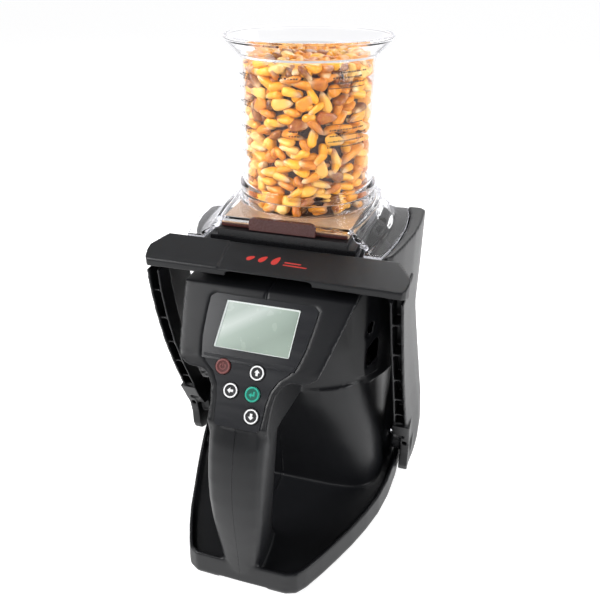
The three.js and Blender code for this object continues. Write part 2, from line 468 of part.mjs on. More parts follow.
add('main_board', cut(solid(onFace([[-36, -4], [36, -4], [36, 6], [29, 17.5], [19, 17.5], [19, 29], [-19, 29], [-19, 17.5], [-29, 17.5], [-36, 6]], -10.6, -9.0)), solid(slopeBox(-33, -30, -1, 2, -12, -8)), solid(slopeBox(30, 33, -1, 2, -12, -8))), 'board');
{
  const g = new THREE.CylinderGeometry(6, 6, 5, 16);
  const c = onSlope(8, -8.5 - 2.1 - 2.8);
  g.applyMatrix4(new THREE.Matrix4().set(1, 0, 0, 24, 0, NORM[0], -DOWN[0], c[0], 0, NORM[1], -DOWN[1], c[1], 0, 0, 0, 1));
  add('buzzer', g, 'dark');
}
add('keypad_board', padBox(-12.2, 12.2, 0, 29.5, -6.6, -5.4), 'board');
for (const k of KEYS) add(k.name, join(solid(padCyl(k.x, k.s, KEY_R, -0.35, 0.9, 18)), solid(padCyl(k.x, k.s, 3.0, -4.7, -0.3, 12))), k.finish);

// ---------------------------------------------------------------- bail: bar and two ribbed arms
const ARM_FRONT = [[2, -20.6], [5, -26], [10, -27.6], [20, -27.8], [30, -29.6], [40, -33.6], [50, -38.3], [60, -43], [70, -47.6], [80, -52.1], [90, -56.4], [100, -60.4], [110, -64.1], [120, -67.2], [130, -70], [140, -72.4], [150, -74.7], [160, -76.4], [166, -77.2]];
const ARM_REAR = [[2, -8], [8, -2], [18, 2.5], [26, 5], [40, 7], [60, 6], [85, -1], [110, -12], [131, -22], [150, -27.5], [166, -40]];
const ARM_OUT = [[2, 79.6], [12, 79.6], [20, 79.4], [60, 78.2], [100, 76.2], [140, 74.2], [166, 72.8]];
const ARM_BULGE = [[2, 0.8], [8, 2.6], [12, 3.6], [18, 4.6], [28, 5.8], [45, 5.4], [70, 3.4], [100, 1.6], [140, 0.4], [166, 0]];
const ARM_LEVELS = [2, 5, 10, 20, 34, 55, 80, 105, 131, 150, 166];
const armPlate = loft(ARM_LEVELS, (i) => {
  const z = ARM_LEVELS[i], f = table(ARM_FRONT, z), r = table(ARM_REAR, z), x = table(ARM_OUT, z), b = table(ARM_BULGE, z), w = 1.8;
  const at = (t, k, o) => [x + b * k - o, lerp(f, r, t)];
  return [at(0, 0, 0), at(0.25, 0.45, 0), at(0.55, 0.95, 0), at(0.85, 0.9, 0), at(1, 0.5, 0), at(1, 0.5, w), at(0.85, 0.75, w), at(0.55, 0.8, w), at(0.25, 0.3, w), at(0, 0, w)];
});
const LIP_LEVELS = [54, 80, 105, 131, 150, 166];
const lipIn = (z) => table(ARM_OUT, z) - table([[54, 8.8], [80, 8.1], [100, 7.6], [166, 7.6]], z);
const armLip = loft(LIP_LEVELS, (i) => {
  const z = LIP_LEVELS[i], f = table(ARM_FRONT, z) + 0.6, x = lipIn(z);
  return [[x, f], [x + 1.5, f], [x + 1.5, f + 13], [x, f + 13]];
});
const armWeb = loft(LIP_LEVELS, (i) => {
  const z = LIP_LEVELS[i], f = table(ARM_FRONT, z) + 0.6, x = lipIn(z), o = table(ARM_OUT, z) - 1;
  return [[x + 0.2, f + 11.4], [o + 0.6, f + 11.4], [o + 0.6, f + 13], [x + 0.2, f + 13]];
});
let arm = join(solid(armPlate), solid(armLip), solid(armWeb));
for (const z of [148, 126, 104, 84, 66, 55.2]) {
  const f = table(ARM_FRONT, z) + 1.4, x = lipIn(z), o = table(ARM_OUT, z) - 1;
  arm = arm.add(solid(box(x + 0.4, o, f, f + 11.6, z, z + 1.2)));
}
// solid toe with the pivot boss, its catch slot and the small square hole
const toe = extrudeX([[-20.6, 2.0], [-26.4, 5.0], [-28.4, 10], [-28.8, 22], [-30.6, 32], [-36.6, 44], [-41.6, 54.6], [-30, 55.6], [-8, 44], [0, 32], [1.5, 16], [-2.5, 4.5], [-7.4, 1.6]], 74.4, 80.4);
const toeBlock = extrudeX([[-28.8, 31.5], [-36.6, 44], [-41.6, 54.6], [-28.4, 55.8], [-16, 46], [-8, 36], [-14, 28]], 68.9, 76);
arm = arm.add(solid(toe)).add(solid(toeBlock)).add(solid(cylX(11.8, 67.3, 82.0, PIVOT[0], PIVOT[1], 28)));
arm = cut(arm, solid(cylX(PIVOT_R + 0.05, 66, 80.6, PIVOT[0], PIVOT[1], 24)), solid(box(75.6, 78.2, -40, -24, 30.5, 34.5)), solid(box(70.6, 76.6, -60, -33, 38.4, 42.6)));
// seats for the bar ends
arm = cut(arm, solid(box(60, 90, -90, -30, 163.6, 175)));
add('bail_arm_right', arm, 'bail');
add('bail_arm_left', mirrored(arm), 'bail');
const BAR_SIDE = [[-57.0, 178.8], [-74.0, 172.3], [-77.2, 171.2], [-77.8, 170.2], [-77.8, 166.6], [-75.4, 166.6], [-75.4, 169.2], [-73.4, 169.9], [-59.2, 175.4], [-59.2, 171.2], [-57.0, 171.2]];
const BAR_SOLID = [[-57.0, 178.8], [-74.0, 172.3], [-77.2, 171.2], [-77.8, 170.2], [-77.8, 166.6], [-70, 163.9], [-57.0, 163.9]];
const BAR_PLAN = mirrorPts([[0, -57.0], [66.6, -57.0], [74.2, -66.6], [74.4, -70], [73.2, -75.4], [71.0, -78.2], [0, -78.2]]);
let bar = join(
  solid(extrudeX(BAR_SIDE, -76, 76)),
  solid(extrudeX(BAR_SOLID, 63.5, 76)),
  solid(extrudeX(BAR_SOLID, -76, -63.5)),
);
for (const x of [-46, -25.4, 25.4, 46]) bar = bar.add(solid(extrudeX([[-58, 178], [-75, 171.5], [-76.6, 168.2], [-70, 170.6], [-58, 171.4]], x - 0.9, x + 0.9)));
bar = bar.intersect(solid(extrudeZ(BAR_PLAN, 150, 190)));
bar = cut(bar, solid(extrudeY([[-24.4, 160], [-24.4, 168.6], [-22, 169.7], [22, 169.7], [24.4, 168.6], [24.4, 160]], -90, -73.5)));
// the top face is stepped down a little to the right of the left end
bar = cut(bar, solid(extrudeX([[-56.0, 186], [-82, 186], [-82, 168.76], [-56.0, 178.7]], -29.0, 80)));
add('bail_bar', bar, 'bail');
for (const [name, s] of [['pivot_pin_left', -1], ['pivot_pin_right', 1]]) {
  add(name, cylX(PIVOT_R, s > 0 ? 57.0 : -80.3, s > 0 ? 80.3 : -57.0, PIVOT[0], PIVOT[1], 16), 'steel');
}

// ---------------------------------------------------------------- loader
const HOOD_LOW = (d) => mirrorPts([[0, -52.2 + d], [52.0 - d, -52.2 + d], [54.6 - d, -42], [56.6 - d, -26], [57.4 - d, -8], [56.0 - d, 12], [51.8 - d, 28], [44 - d * 0.8, 40.4 - d * 0.6], [32 - d * 0.5, 49.4 - d * 0.9], [16, 54.4 - d], [0, 55.6 - d]]);
const HOOD_MID = (d) => mirrorPts([[0, -50.2 + d], [41.0 - d, -50.2 + d], [42.6 - d, -41], [44.6 - d, -26], [46.2 - d, -8], [45.8 - d, 9], [43.2 - d, 23], [37 - d * 0.8, 33.6 - d * 0.6], [27 - d * 0.5, 40.6 - d * 0.9], [14, 44.4 - d], [0, 45.4 - d]]);
const HOOD_TOP = (d) => mirrorPts([[0, -49.0 + d], [39.4 - d, -49.0 + d], [41.2 - d, -40.4], [43.4 - d, -26], [45.0 - d, -8], [44.6 - d, 9], [42.0 - d, 22.6], [36 - d * 0.8, 32.8 - d * 0.6], [26 - d * 0.5, 39.6 - d * 0.9], [13.4, 43.2 - d], [0, 44.2 - d]]);
const HOOD_Z = [DECK_Z + GAP, 178.6, 183.6, 189.5];
const hoodOuter = loft([HOOD_Z[1] - 1.4, HOOD_Z[2], HOOD_Z[3]], (i) => [HOOD_LOW, HOOD_MID, HOOD_TOP][i](0));
const hoodInner = loft([HOOD_Z[0] - 3, HOOD_Z[2] - 1.4, 187.0], (i) => [HOOD_LOW, HOOD_MID, HOOD_TOP][i](i ? 2.3 : 3.4));
let hood = join(solid(hoodOuter), solid(extrudeZ(FLANGE(0), HOOD_Z[0], HOOD_Z[1])), solid(cylZ(41.2, 187.5, 196.0, 0, 0, 40)));
hood = cut(hood, solid(hoodInner), solid(cylZ(39.0, 180, 200, 0, 0, 40)));
hood = cut(hood, solid(box(-43.6, 43.6, -60, -46.2, 170, 186.3)), solid(box(-46.6, 46.6, -60, -44, 170, 180.2)));
add('hopper_hood', hood, 'clear');
add('slide_frame', cut(join(
  solid(extrudeZ([[-42.2, -54.0], [42.2, -54.0], [42.4, -30], [41.6, 6], [36.6, 25.6], [22, 36.8], [-22, 36.8], [-36.6, 25.6], [-41.6, 6], [-42.4, -30]], HOOD_Z[0], 179.7)),
  solid(extrudeZ([[-37.8, -54.0], [37.8, -54.0], [37.8, 19], [22, 37.2], [-22, 37.2], [-37.8, 19]], 179.6, 183.7)),
), solid(cylZ(37.0, 170, 190, 0, 0, 36))), 'dark');
const shutterPlan = rounded([[-37.3, -50.0], [37.3, -50.0], [37.3, 20], [20, 38.0], [-20, 38.0], [-37.3, 20]], [2, 2, 0, 0, 0, 0], 2);
const tab = extrudeY(rounded([[-19.2, SHUTTER_Z[0]], [19.2, SHUTTER_Z[0]], [19.2, 191.4], [-19.2, 191.4]], [0, 0, 4.2, 4.2], 4), -52.6, -50.2);
add('shutter_plate', join(solid(extrudeZ(shutterPlan, ...SHUTTER_Z)), solid(box(-19.2, 19.2, -51.4, -49.5, ...SHUTTER_Z)), solid(tab)), 'shutter');
const cupProfile = [[36.6, 187.4], [38.6, 187.4], [38.6, 196.3], [41.2, 196.3], [41.2, 200.2], [CUP_R, 201.2], [CUP_R, 271.6], [46.4, 279.2], [CUP_RIM_R, CUP_TOP_Z], [44.8, CUP_TOP_Z], [CUP_R - CUP_WALL, 272.9], [36.6, 187.4]];
add('loading_cup', lathe(cupProfile, 40), 'clear');
add('grain_charge', lathe([[0, SHUTTER_Z[1] + 0.4], [36.0, SHUTTER_Z[1] + 0.4], [36.0, GRAIN_TOP_Z - 1.5], [30, GRAIN_TOP_Z], [16, GRAIN_TOP_Z + 1.6], [0, GRAIN_TOP_Z + 2.2]], 28), 'grain');

export default outer;
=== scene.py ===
# Grain moisture meter: looks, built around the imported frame. Metres, +Z up, front at -Y.
import math
import random

import bmesh
import bpy
import numpy as np
from mathutils import Matrix, Vector


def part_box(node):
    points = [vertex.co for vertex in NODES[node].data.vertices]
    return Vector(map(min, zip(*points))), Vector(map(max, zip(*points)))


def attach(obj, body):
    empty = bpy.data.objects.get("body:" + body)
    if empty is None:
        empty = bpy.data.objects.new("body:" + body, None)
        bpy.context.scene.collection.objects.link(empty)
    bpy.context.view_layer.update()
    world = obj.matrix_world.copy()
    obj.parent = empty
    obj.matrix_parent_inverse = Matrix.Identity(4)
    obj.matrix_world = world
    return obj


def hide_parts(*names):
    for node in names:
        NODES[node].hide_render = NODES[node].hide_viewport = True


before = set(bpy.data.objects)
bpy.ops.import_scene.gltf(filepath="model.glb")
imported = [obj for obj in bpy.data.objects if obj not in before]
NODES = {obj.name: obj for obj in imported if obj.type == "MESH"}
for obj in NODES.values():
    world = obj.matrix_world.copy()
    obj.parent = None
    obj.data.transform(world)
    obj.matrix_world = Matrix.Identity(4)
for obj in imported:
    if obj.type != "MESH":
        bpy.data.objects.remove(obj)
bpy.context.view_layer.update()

MM = 0.001
AX = 0.0398          # cup axis
DZ = 0.003           # datum above the floor


def P(x, y, z):
    """a point given in millimetres in the cup-axis frame"""
    return Vector((x * MM, y * MM + AX, z * MM + DZ))


# ------------------------------------------------------------------ camera
cam = bpy.data.cameras.new("camera")
cam.lens = 36.96
cam.sensor_width = 36
cam.clip_start = 0.01
cam_obj = bpy.data.objects.new("camera", cam)
bpy.context.scene.collection.objects.link(cam_obj)
cam_obj.location = P(99.7, -351.2, 319.1)
cam_obj.rotation_euler = (math.radians(90 - 29.35), 0, math.radians(16.59))
bpy.context.scene.camera = cam_obj


# ------------------------------------------------------------------ materials
def mat_new(name):
    m = bpy.data.materials.new(name)
    m.use_nodes = True
    nt = m.node_tree
    bsdf = nt.nodes["Principled BSDF"]
    return m, nt, bsdf


def link(nt, a, b):
    nt.links.new(a, b)


def texco(nt):
    return nt.nodes.new("ShaderNodeTexCoord").outputs["Object"]


def noise(nt, scale, detail=3.0, rough=0.5, vec=None):
    n = nt.nodes.new("ShaderNodeTexNoise")
    n.inputs["Scale"].default_value = scale
    n.inputs["Detail"].default_value = detail
    n.inputs["Roughness"].default_value = rough
    link(nt, vec or texco(nt), n.inputs["Vector"])
    return n.outputs["Fac"]


def ramp(nt, fac, stops):
    r = nt.nodes.new("ShaderNodeValToRGB")
    link(nt, fac, r.inputs["Fac"])
    e = r.color_ramp.elements
    while len(e) < len(stops):
        e.new(0.5)
    for k, (p, c) in enumerate(stops):
        e[k].position = p
        e[k].color = (*c, 1.0) if len(c) == 3 else c
    return r.outputs["Color"]


def maprange(nt, fac, a, b, c, d):
    r = nt.nodes.new("ShaderNodeMapRange")
    link(nt, fac, r.inputs["Value"])
    for k, v in zip(("From Min", "From Max", "To Min", "To Max"), (a, b, c, d)):
        r.inputs[k].default_value = v
    return r.outputs["Result"]


def bump(nt, bsdf, height, strength, distance):
    b = nt.nodes.new("ShaderNodeBump")
    b.inputs["Strength"].default_value = strength
    b.inputs["Distance"].default_value = distance
    link(nt, height, b.inputs["Height"])
    link(nt, b.outputs["Normal"], bsdf.inputs["Normal"])
    return b


def mixc(nt, fac, a, b, mode="MIX"):
    m = nt.nodes.new("ShaderNodeMix")
    m.data_type = "RGBA"
    m.blend_type = mode
    for sock, v in ((m.inputs[0], fac), (m.inputs[6], a), (m.inputs[7], b)):
        if hasattr(v, "is_output"):
            link(nt, v, sock)
        elif isinstance(v, (int, float)):
            sock.default_value = v
        else:
            sock.default_value = (*v, 1.0)
    return m.outputs[2]


def edge_wear(nt, low=0.50, high=0.62):
    g = nt.nodes.new("ShaderNodeNewGeometry")
    return maprange(nt, g.outputs["Pointiness"], low, high, 0.0, 1.0)


def moulded(name, base, light, rough=0.46, grain=2600, strength=0.35, wear=0.25, spec=0.5):
    """finely textured moulded plastic with faint mottling and slightly polished edges"""
    m, nt, p = mat_new(name)
    big = noise(nt, 22, 4, 0.6)
    fine = noise(nt, grain, 2, 0.6)
    c = mixc(nt, maprange(nt, big, 0.35, 0.65, 0.0, 1.0), base, light)
    c = mixc(nt, maprange(nt, fine, 0.4, 0.7, 0.0, 0.35), c, tuple(min(1, 1.7 * v) for v in light))
    w = edge_wear(nt)
    c = mixc(nt, maprange(nt, w, 0, 1, 0.0, wear), c, tuple(min(1, 2.6 * v) for v in light))
    link(nt, c, p.inputs["Base Color"])
    r = nt.nodes.new("ShaderNodeMath"); r.operation = "ADD"
    link(nt, maprange(nt, fine, 0.3, 0.7, rough - 0.05, rough + 0.07), r.inputs[0])
    link(nt, maprange(nt, w, 0, 1, 0.0, -0.10), r.inputs[1])
    link(nt, r.outputs[0], p.inputs["Roughness"])
    p.inputs["Specular IOR Level"].default_value = spec
    bump(nt, p, fine, strength, 0.00006)
    return m


M = {}
M["shell"] = moulded("shell_plastic", (0.0046, 0.0048, 0.0058), (0.0066, 0.0069, 0.0082), 0.38, 2300, 0.40, 0.10, 0.34)
M["bail"] = moulded("bail_plastic", (0.0042, 0.0044, 0.0052), (0.0064, 0.0067, 0.0078), 0.40, 2300, 0.45, 0.15, 0.34)
M["dark"] = moulded("dark_plastic", (0.0036, 0.0036, 0.0042), (0.006, 0.006, 0.0068), 0.36, 3000, 0.25, 0.2, 0.4)
M["rubber"] = moulded("foot_rubber", (0.012, 0.012, 0.012), (0.02, 0.02, 0.02), 0.75, 1500, 0.6, 0.1)
M["shutter"] = moulded("shutter_plastic", (0.040, 0.0105, 0.0095), (0.062, 0.017, 0.015), 0.30, 2600, 0.2, 0.2, 0.4)
M["plate"] = moulded("shutter_leaf", (0.26, 0.165, 0.095), (0.34, 0.22, 0.13), 0.10, 2600, 0.05, 0.2, 0.6)
M["cell"] = moulded("cell_plastic", (0.20, 0.205, 0.21), (0.26, 0.265, 0.27), 0.4, 1800, 0.3)


def film(name):
    """keypad film: satin gloss, very fine matt grain with faint long handling marks"""
    m, nt, p = mat_new(name)
    fine = noise(nt, 5200, 2, 0.5)
    co = texco(nt)
    mp = nt.nodes.new("ShaderNodeMapping")
    mp.inputs["Scale"].default_value = (30, 260, 260)
    mp.inputs["Rotation"].default_value = (0.3, 0.2, 0.9)
    link(nt, co, mp.inputs["Vector"])
    marks = noise(nt, 1.0, 4, 0.6, mp.outputs["Vector"])
    c = mixc(nt, maprange(nt, fine, 0.35, 0.65, 0, 1), (0.0062, 0.0066, 0.0086), (0.0090, 0.0096, 0.0125))
    link(nt, c, p.inputs["Base Color"])
    r = nt.nodes.new("ShaderNodeMath"); r.operation = "ADD"
    link(nt, maprange(nt, fine, 0.3, 0.7, 0.27, 0.34), r.inputs[0])
    link(nt, maprange(nt, marks, 0.45, 0.8, 0.0, 0.12), r.inputs[1])
    link(nt, r.outputs[0], p.inputs["Roughness"])
    p.inputs["Coat Weight"].default_value = 0.35
    p.inputs["Coat Roughness"].default_value = 0.22
    bump(nt, p, fine, 0.25, 0.00003)
    return m


M["film"] = film("keypad_film")


def paint(name, col, col2, rough=0.35, scale=1800):
    m, nt, p = mat_new(name)
    f = noise(nt, scale, 2, 0.5)
    link(nt, mixc(nt, maprange(nt, f, 0.35, 0.65, 0, 1), col, col2), p.inputs["Base Color"])
    link(nt, maprange(nt, f, 0.3, 0.7, rough - 0.04, rough + 0.06), p.inputs["Roughness"])
    bump(nt, p, f, 0.15, 0.00003)
    return m


M["white"] = paint("legend_white", (0.74, 0.74, 0.74), (0.86, 0.86, 0.87), 0.4)
M["key_black"] = paint("key_black", (0.012, 0.012, 0.013), (0.02, 0.02, 0.022), 0.34)
M["key_red"] = paint("key_red", (0.060, 0.0085, 0.008), (0.080, 0.012, 0.011), 0.36)
M["key_red_ring"] = paint("key_red_ring", (0.17, 0.050, 0.047), (0.21, 0.066, 0.062), 0.36)
M["key_green"] = paint("key_green", (0.008, 0.085, 0.062), (0.010, 0.11, 0.08), 0.34)
M["key_green_ring"] = paint("key_green_ring", (0.012, 0.33, 0.235), (0.02, 0.42, 0.30), 0.34)
M["mark_red"] = paint("mark_red", (0.52, 0.022, 0.016), (0.60, 0.035, 0.022), 0.4)
M["mark_black"] = paint("mark_black", (0.012, 0.012, 0.014), (0.035, 0.035, 0.04), 0.45)
# light grey for the thin frame round the display opening: a painted highlight on its edges
M["frame_grey"] = paint("window_edge_highlight", (0.70, 0.74, 0.72), (0.82, 0.86, 0.84), 0.3)
M["battery"] = paint("battery_sleeve", (0.02, 0.07, 0.2), (0.03, 0.1, 0.26), 0.3, 900)


def board(name):
    m, nt, p = mat_new(name)
    v = nt.nodes.new("ShaderNodeTexVoronoi")
    v.feature = "DISTANCE_TO_EDGE"
    v.inputs["Scale"].default_value = 190
    link(nt, texco(nt), v.inputs["Vector"])
    t = maprange(nt, v.outputs["Distance"], 0.02, 0.06, 1.0, 0.0)
    link(nt, mixc(nt, t, (0.008, 0.09, 0.045), (0.02, 0.17, 0.09)), p.inputs["Base Color"])
    p.inputs["Roughness"].default_value = 0.35
    bump(nt, p, t, 0.3, 0.00003)
    return m


M["board"] = board("solder_mask")


def metal(name, a, b, rough, aniso=0.0, stretch=(1, 1, 1)):
    m, nt, p = mat_new(name)
    mp = nt.nodes.new("ShaderNodeMapping")
    mp.inputs["Scale"].default_value = stretch
    link(nt, texco(nt), mp.inputs["Vector"])
    f = noise(nt, 900, 3, 0.6, mp.outputs["Vector"])
    link(nt, mixc(nt, maprange(nt, f, 0.3, 0.7, 0, 1), a, b), p.inputs["Base Color"])
    link(nt, maprange(nt, f, 0.3, 0.7, rough - 0.06, rough + 0.08), p.inputs["Roughness"])
    p.inputs["Metallic"].default_value = 1.0
    p.inputs["Anisotropic"].default_value = aniso
    bump(nt, p, f, 0.2, 0.00003)
    return m


M["steel"] = metal("plated_steel", (0.52, 0.53, 0.55), (0.62, 0.63, 0.65), 0.28, 0.2, (0.2, 1, 1))
M["alu"] = metal("milled_aluminium", (0.66, 0.67, 0.69), (0.76, 0.77, 0.79), 0.34, 0.3, (0.1, 1, 1))
M["brass"] = metal("brass", (0.62, 0.44, 0.18), (0.72, 0.53, 0.25), 0.3)


def clear_plastic(name, tint=(0.975, 0.975, 0.99), rough=0.025, ior=1.30, rim=0.5):
    """clear moulded polycarbonate: glass for sight, open to lamps so that what it holds stays lit, with a painted
    whitish sheen where it turns edge-on
    """
    m, nt, p = mat_new(name)
    f = noise(nt, 55, 3, 0.55)
    fine = noise(nt, 420, 3, 0.6)
    link(nt, mixc(nt, maprange(nt, f, 0.35, 0.65, 0, 1), tint, tuple(min(1, v * 1.02) for v in tint)), p.inputs["Base Color"])
    link(nt, maprange(nt, fine, 0.45, 0.75, rough, rough + 0.05), p.inputs["Roughness"])
    p.inputs["Transmission Weight"].default_value = 1.0
    p.inputs["IOR"].default_value = ior
    bump(nt, p, f, 0.12, 0.0004)
    out = nt.nodes["Material Output"]
    tr = nt.nodes.new("ShaderNodeBsdfTransparent")
    tr.inputs["Color"].default_value = (0.93, 0.93, 0.95, 1)
    lp = nt.nodes.new("ShaderNodeLightPath")
    lw = nt.nodes.new("ShaderNodeLayerWeight")
    lw.inputs["Blend"].default_value = 0.5
    # painted sheen: a whitish diffuse layer mixed in where the surface turns edge-on
    painted_sheen = nt.nodes.new("ShaderNodeBsdfDiffuse")
    painted_sheen.inputs["Color"].default_value = (0.92, 0.92, 0.97, 1)
    em = nt.nodes.new("ShaderNodeMixShader")
    link(nt, maprange(nt, lw.outputs["Facing"], 0.62, 0.98, 0.0, rim), em.inputs["Fac"])
    link(nt, p.outputs["BSDF"], em.inputs[1])
    link(nt, painted_sheen.outputs["BSDF"], em.inputs[2])
    mx = nt.nodes.new("ShaderNodeMixShader")
    link(nt, lp.outputs["Is Shadow Ray"], mx.inputs["Fac"])
    link(nt, em.outputs["Shader"], mx.inputs[1])
    link(nt, tr.outputs["BSDF"], mx.inputs[2])
    link(nt, mx.outputs["Shader"], out.inputs["Surface"])
    return m


M["clear"] = clear_plastic("clear_polycarbonate")


def frosted(name):
    """the cut edge of the clear moulding, painted whitish and part opaque: a painted highlight for the light its thick
    edge gathers
    """
    m, nt, p = mat_new(name)
    f = noise(nt, 900, 3, 0.6)
    link(nt, mixc(nt, maprange(nt, f, 0.35, 0.65, 0, 1), (0.86, 0.86, 0.92), (0.95, 0.95, 0.99)), p.inputs["Base Color"])
    link(nt, maprange(nt, f, 0.3, 0.7, 0.22, 0.36), p.inputs["Roughness"])
    p.inputs["Transmission Weight"].default_value = 0.45
    p.inputs["IOR"].default_value = 1.3
    bump(nt, p, f, 0.2, 0.00004)
    return m


M["frost"] = frosted("clear_edge_painted_highlight")


def lcd_with_painted_reflection(name):
    """switched-off display glass: its own pale grey green, with a painted reflection in the colour that makes it
    brighter towards its upper left, in soft diagonal bands
    """
    m, nt, p = mat_new(name)
    co = texco(nt)
    sep = nt.nodes.new("ShaderNodeSeparateXYZ")
    link(nt, co, sep.inputs[0])
    reflection_x = maprange(nt, sep.outputs["X"], -0.021, 0.021, 0.0, 1.0)
    reflection_z = maprange(nt, sep.outputs["Z"], 0.142, 0.160, 1.0, 0.0)
    add = nt.nodes.new("ShaderNodeMath"); add.operation = "ADD"
    link(nt, reflection_x, add.inputs[0]); link(nt, reflection_z, add.inputs[1])
    f = noise(nt, 120, 3, 0.5)
    g = maprange(nt, add.outputs[0], 0.0, 2.0, 0.0, 1.0)
    # the light and dark bands of this ramp are a painted reflection laid over the glass's own colour
    c = ramp(nt, g, [(0.0, (0.50, 0.56, 0.52)), (0.22, (0.42, 0.48, 0.44)), (0.34, (0.54, 0.60, 0.56)), (0.46, (0.36, 0.43, 0.38)), (0.70, (0.28, 0.345, 0.295)), (1.0, (0.34, 0.41, 0.355))])
    c = mixc(nt, maprange(nt, f, 0.3, 0.7, 0.0, 0.08), c, (0.45, 0.52, 0.47))
    link(nt, c, p.inputs["Base Color"])
    link(nt, maprange(nt, f, 0.3, 0.7, 0.22, 0.28), p.inputs["Roughness"])
    p.inputs["Coat Weight"].default_value = 0.18
    p.inputs["Coat Roughness"].default_value = 0.06
    bump(nt, p, f, 0.03, 0.0002)
    return m


M["lcd"] = lcd_with_painted_reflection("display_glass")


def kernel_mat(name):
    m, nt, p = mat_new(name)
    a = nt.nodes.new("ShaderNodeAttribute"); a.attribute_name = "kernel"
    sep = nt.nodes.new("ShaderNodeSeparateColor")
    link(nt, a.outputs["Color"], sep.inputs[0])
    tone, tip, var = sep.outputs[0], sep.outputs[1], sep.outputs[2]
    f = noise(nt, 420, 4, 0.6)
    body = ramp(nt, tone, [(0.0, (0.10, 0.016, 0.004)), (0.20, (0.40, 0.085, 0.004)), (0.42, (0.68, 0.22, 0.004)), (0.72, (0.80, 0.36, 0.008)), (1.0, (0.74, 0.46, 0.14))])
    body = mixc(nt, maprange(nt, f, 0.35, 0.75, 0.0, 0.30), body, (0.80, 0.42, 0.03))
    pale = mixc(nt, var, (0.74, 0.55, 0.28), (0.36, 0.14, 0.07))
    c = mixc(nt, tip, body, pale)
    link(nt, c, p.inputs["Base Color"])
    link(nt, maprange(nt, f, 0.3, 0.7, 0.30, 0.48), p.inputs["Roughness"])
    p.inputs["Subsurface Weight"].default_value = 0.05
    p.inputs["Subsurface Radius"].default_value = (0.004, 0.002, 0.0008)
    p.inputs["Subsurface Scale"].default_value = 0.5
    bump(nt, p, f, 0.35, 0.0002)
    return m


M["kernel"] = kernel_mat("maize_kernel")
# dark brown for the solid inside the kernels: painted shade in the gaps between them
M["core"] = moulded("grain_shadow", (0.030, 0.008, 0.004), (0.055, 0.015, 0.005), 0.8, 400, 0.8, 0.0)


# ------------------------------------------------------------------ mesh helpers
def obj_from(name, verts, faces, mat, body, smooth=True, mats=None, midx=None):
    me = bpy.data.meshes.new(name)
    me.from_pydata([tuple(v) for v in verts], [], faces)
    me.validate()
    for mm in (mats or [mat]):
        me.materials.append(mm)
    if midx is not None:
        me.polygons.foreach_set("material_index", midx)
    if smooth:
        me.polygons.foreach_set("use_smooth", [True] * len(me.polygons))
    me.update()
    o = bpy.data.objects.new(name, me)
    bpy.context.scene.collection.objects.link(o)
    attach(o, body)
    return o


def apply_mods(o):
    dg = bpy.context.evaluated_depsgraph_get()
    dg.update()
    me = bpy.data.meshes.new_from_object(o.evaluated_get(dg), depsgraph=dg)
    old = o.data
    o.modifiers.clear()
    o.data = me
    bpy.data.meshes.remove(old)
    return o


def sharp_points(me, angle=22.0, step=0.0012, seam=0.0):
    """points along the sharp edges of a mesh"""
    bm = bmesh.new(); bm.from_mesh(me)
    bmesh.ops.remove_doubles(bm, verts=bm.verts, dist=1e-6)
    pts = []
    for e in bm.edges:
        if len(e.link_faces) != 2 or e.calc_face_angle(0.0) > math.radians(angle):
            a, b = e.verts[0].co, e.verts[1].co
            if seam and abs(a.x) < seam and abs(b.x) < seam:
                continue
            n = max(1, int((b - a).length / step))
            for k in range(n + 1):
                pts.append(a.lerp(b, k / n))
    bm.free()
    return pts


def skin(me, name, voxel, iters, near, far, light, angle, lo, hi, seam=0.0):
    """a finely meshed copy of a closed mesh: small fillets on its edges, true curves between them"""
    from mathutils.kdtree import KDTree
    o = bpy.data.objects.new(name, me)
    bpy.context.scene.collection.objects.link(o)
    pts = sharp_points(me, angle, seam=seam)
    r = o.modifiers.new("remesh", "REMESH"); r.mode = "VOXEL"; r.voxel_size = voxel * 1.0; r.adaptivity = 0.0
    apply_mods(o)
    me = o.data
    n = len(me.vertices)
    co = np.empty(n * 3, np.float32); me.vertices.foreach_get("co", co); co = co.reshape(-1, 3).astype(np.float64)
    ed = np.empty(len(me.edges) * 2, np.int32); me.edges.foreach_get("vertices", ed); ed = ed.reshape(-1, 2)
    deg = np.bincount(ed.ravel(), minlength=n).astype(np.float64)[:, None]
    kd = KDTree(len(pts))
    for i, p in enumerate(pts):
        kd.insert(p, i)
    kd.balance()
    dist = np.array([kd.find(c)[2] for c in co])
    w = np.clip((dist / MM - near) / (far - near), 0, 1)
    w = (w * w * (3 - 2 * w))[:, None]
    k = 1
    for it in range(iters // k):
        s = np.zeros_like(co)
        for a in range(3):
            s[:, a] = np.bincount(ed[:, 0], co[ed[:, 1], a], n) + np.bincount(ed[:, 1], co[ed[:, 0], a], n)
        lap = s / deg - co
        f = 0.5 * (w if it >= light else np.maximum(w, 1.0))
        co += lap * f
    co = np.clip(co, np.array(lo, float), np.array(hi, float))
    me.vertices.foreach_set("co", co.astype(np.float32).ravel())
    me.update()
    return o


def welded(node):
    me = NODES[node].data.copy()
    bm = bmesh.new(); bm.from_mesh(me)
    bmesh.ops.remove_doubles(bm, verts=bm.verts, dist=1e-6)
    bm.to_mesh(me); bm.free()
    return me


def finish_skin(o, node, mat, body, target=None):
    me = o.data
    if target and len(me.polygons) > target:
        d = o.modifiers.new("dec", "DECIMATE"); d.ratio = target / len(me.polygons)
        apply_mods(o)
        me = o.data
    me.materials.clear(); me.materials.append(mat)
    me.polygons.foreach_set("use_smooth", [True] * len(me.polygons))
    me.update()
    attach(o, body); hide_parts(node)
    return o


def refine(node, name, voxel, mat, body, iters=60, near=1.2, far=6.0, light=5, target=None, angle=22.0):
    o = skin(welded(node), name, voxel, iters, near, far, light, angle, *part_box(node))
    return finish_skin(o, node, mat, body, target)


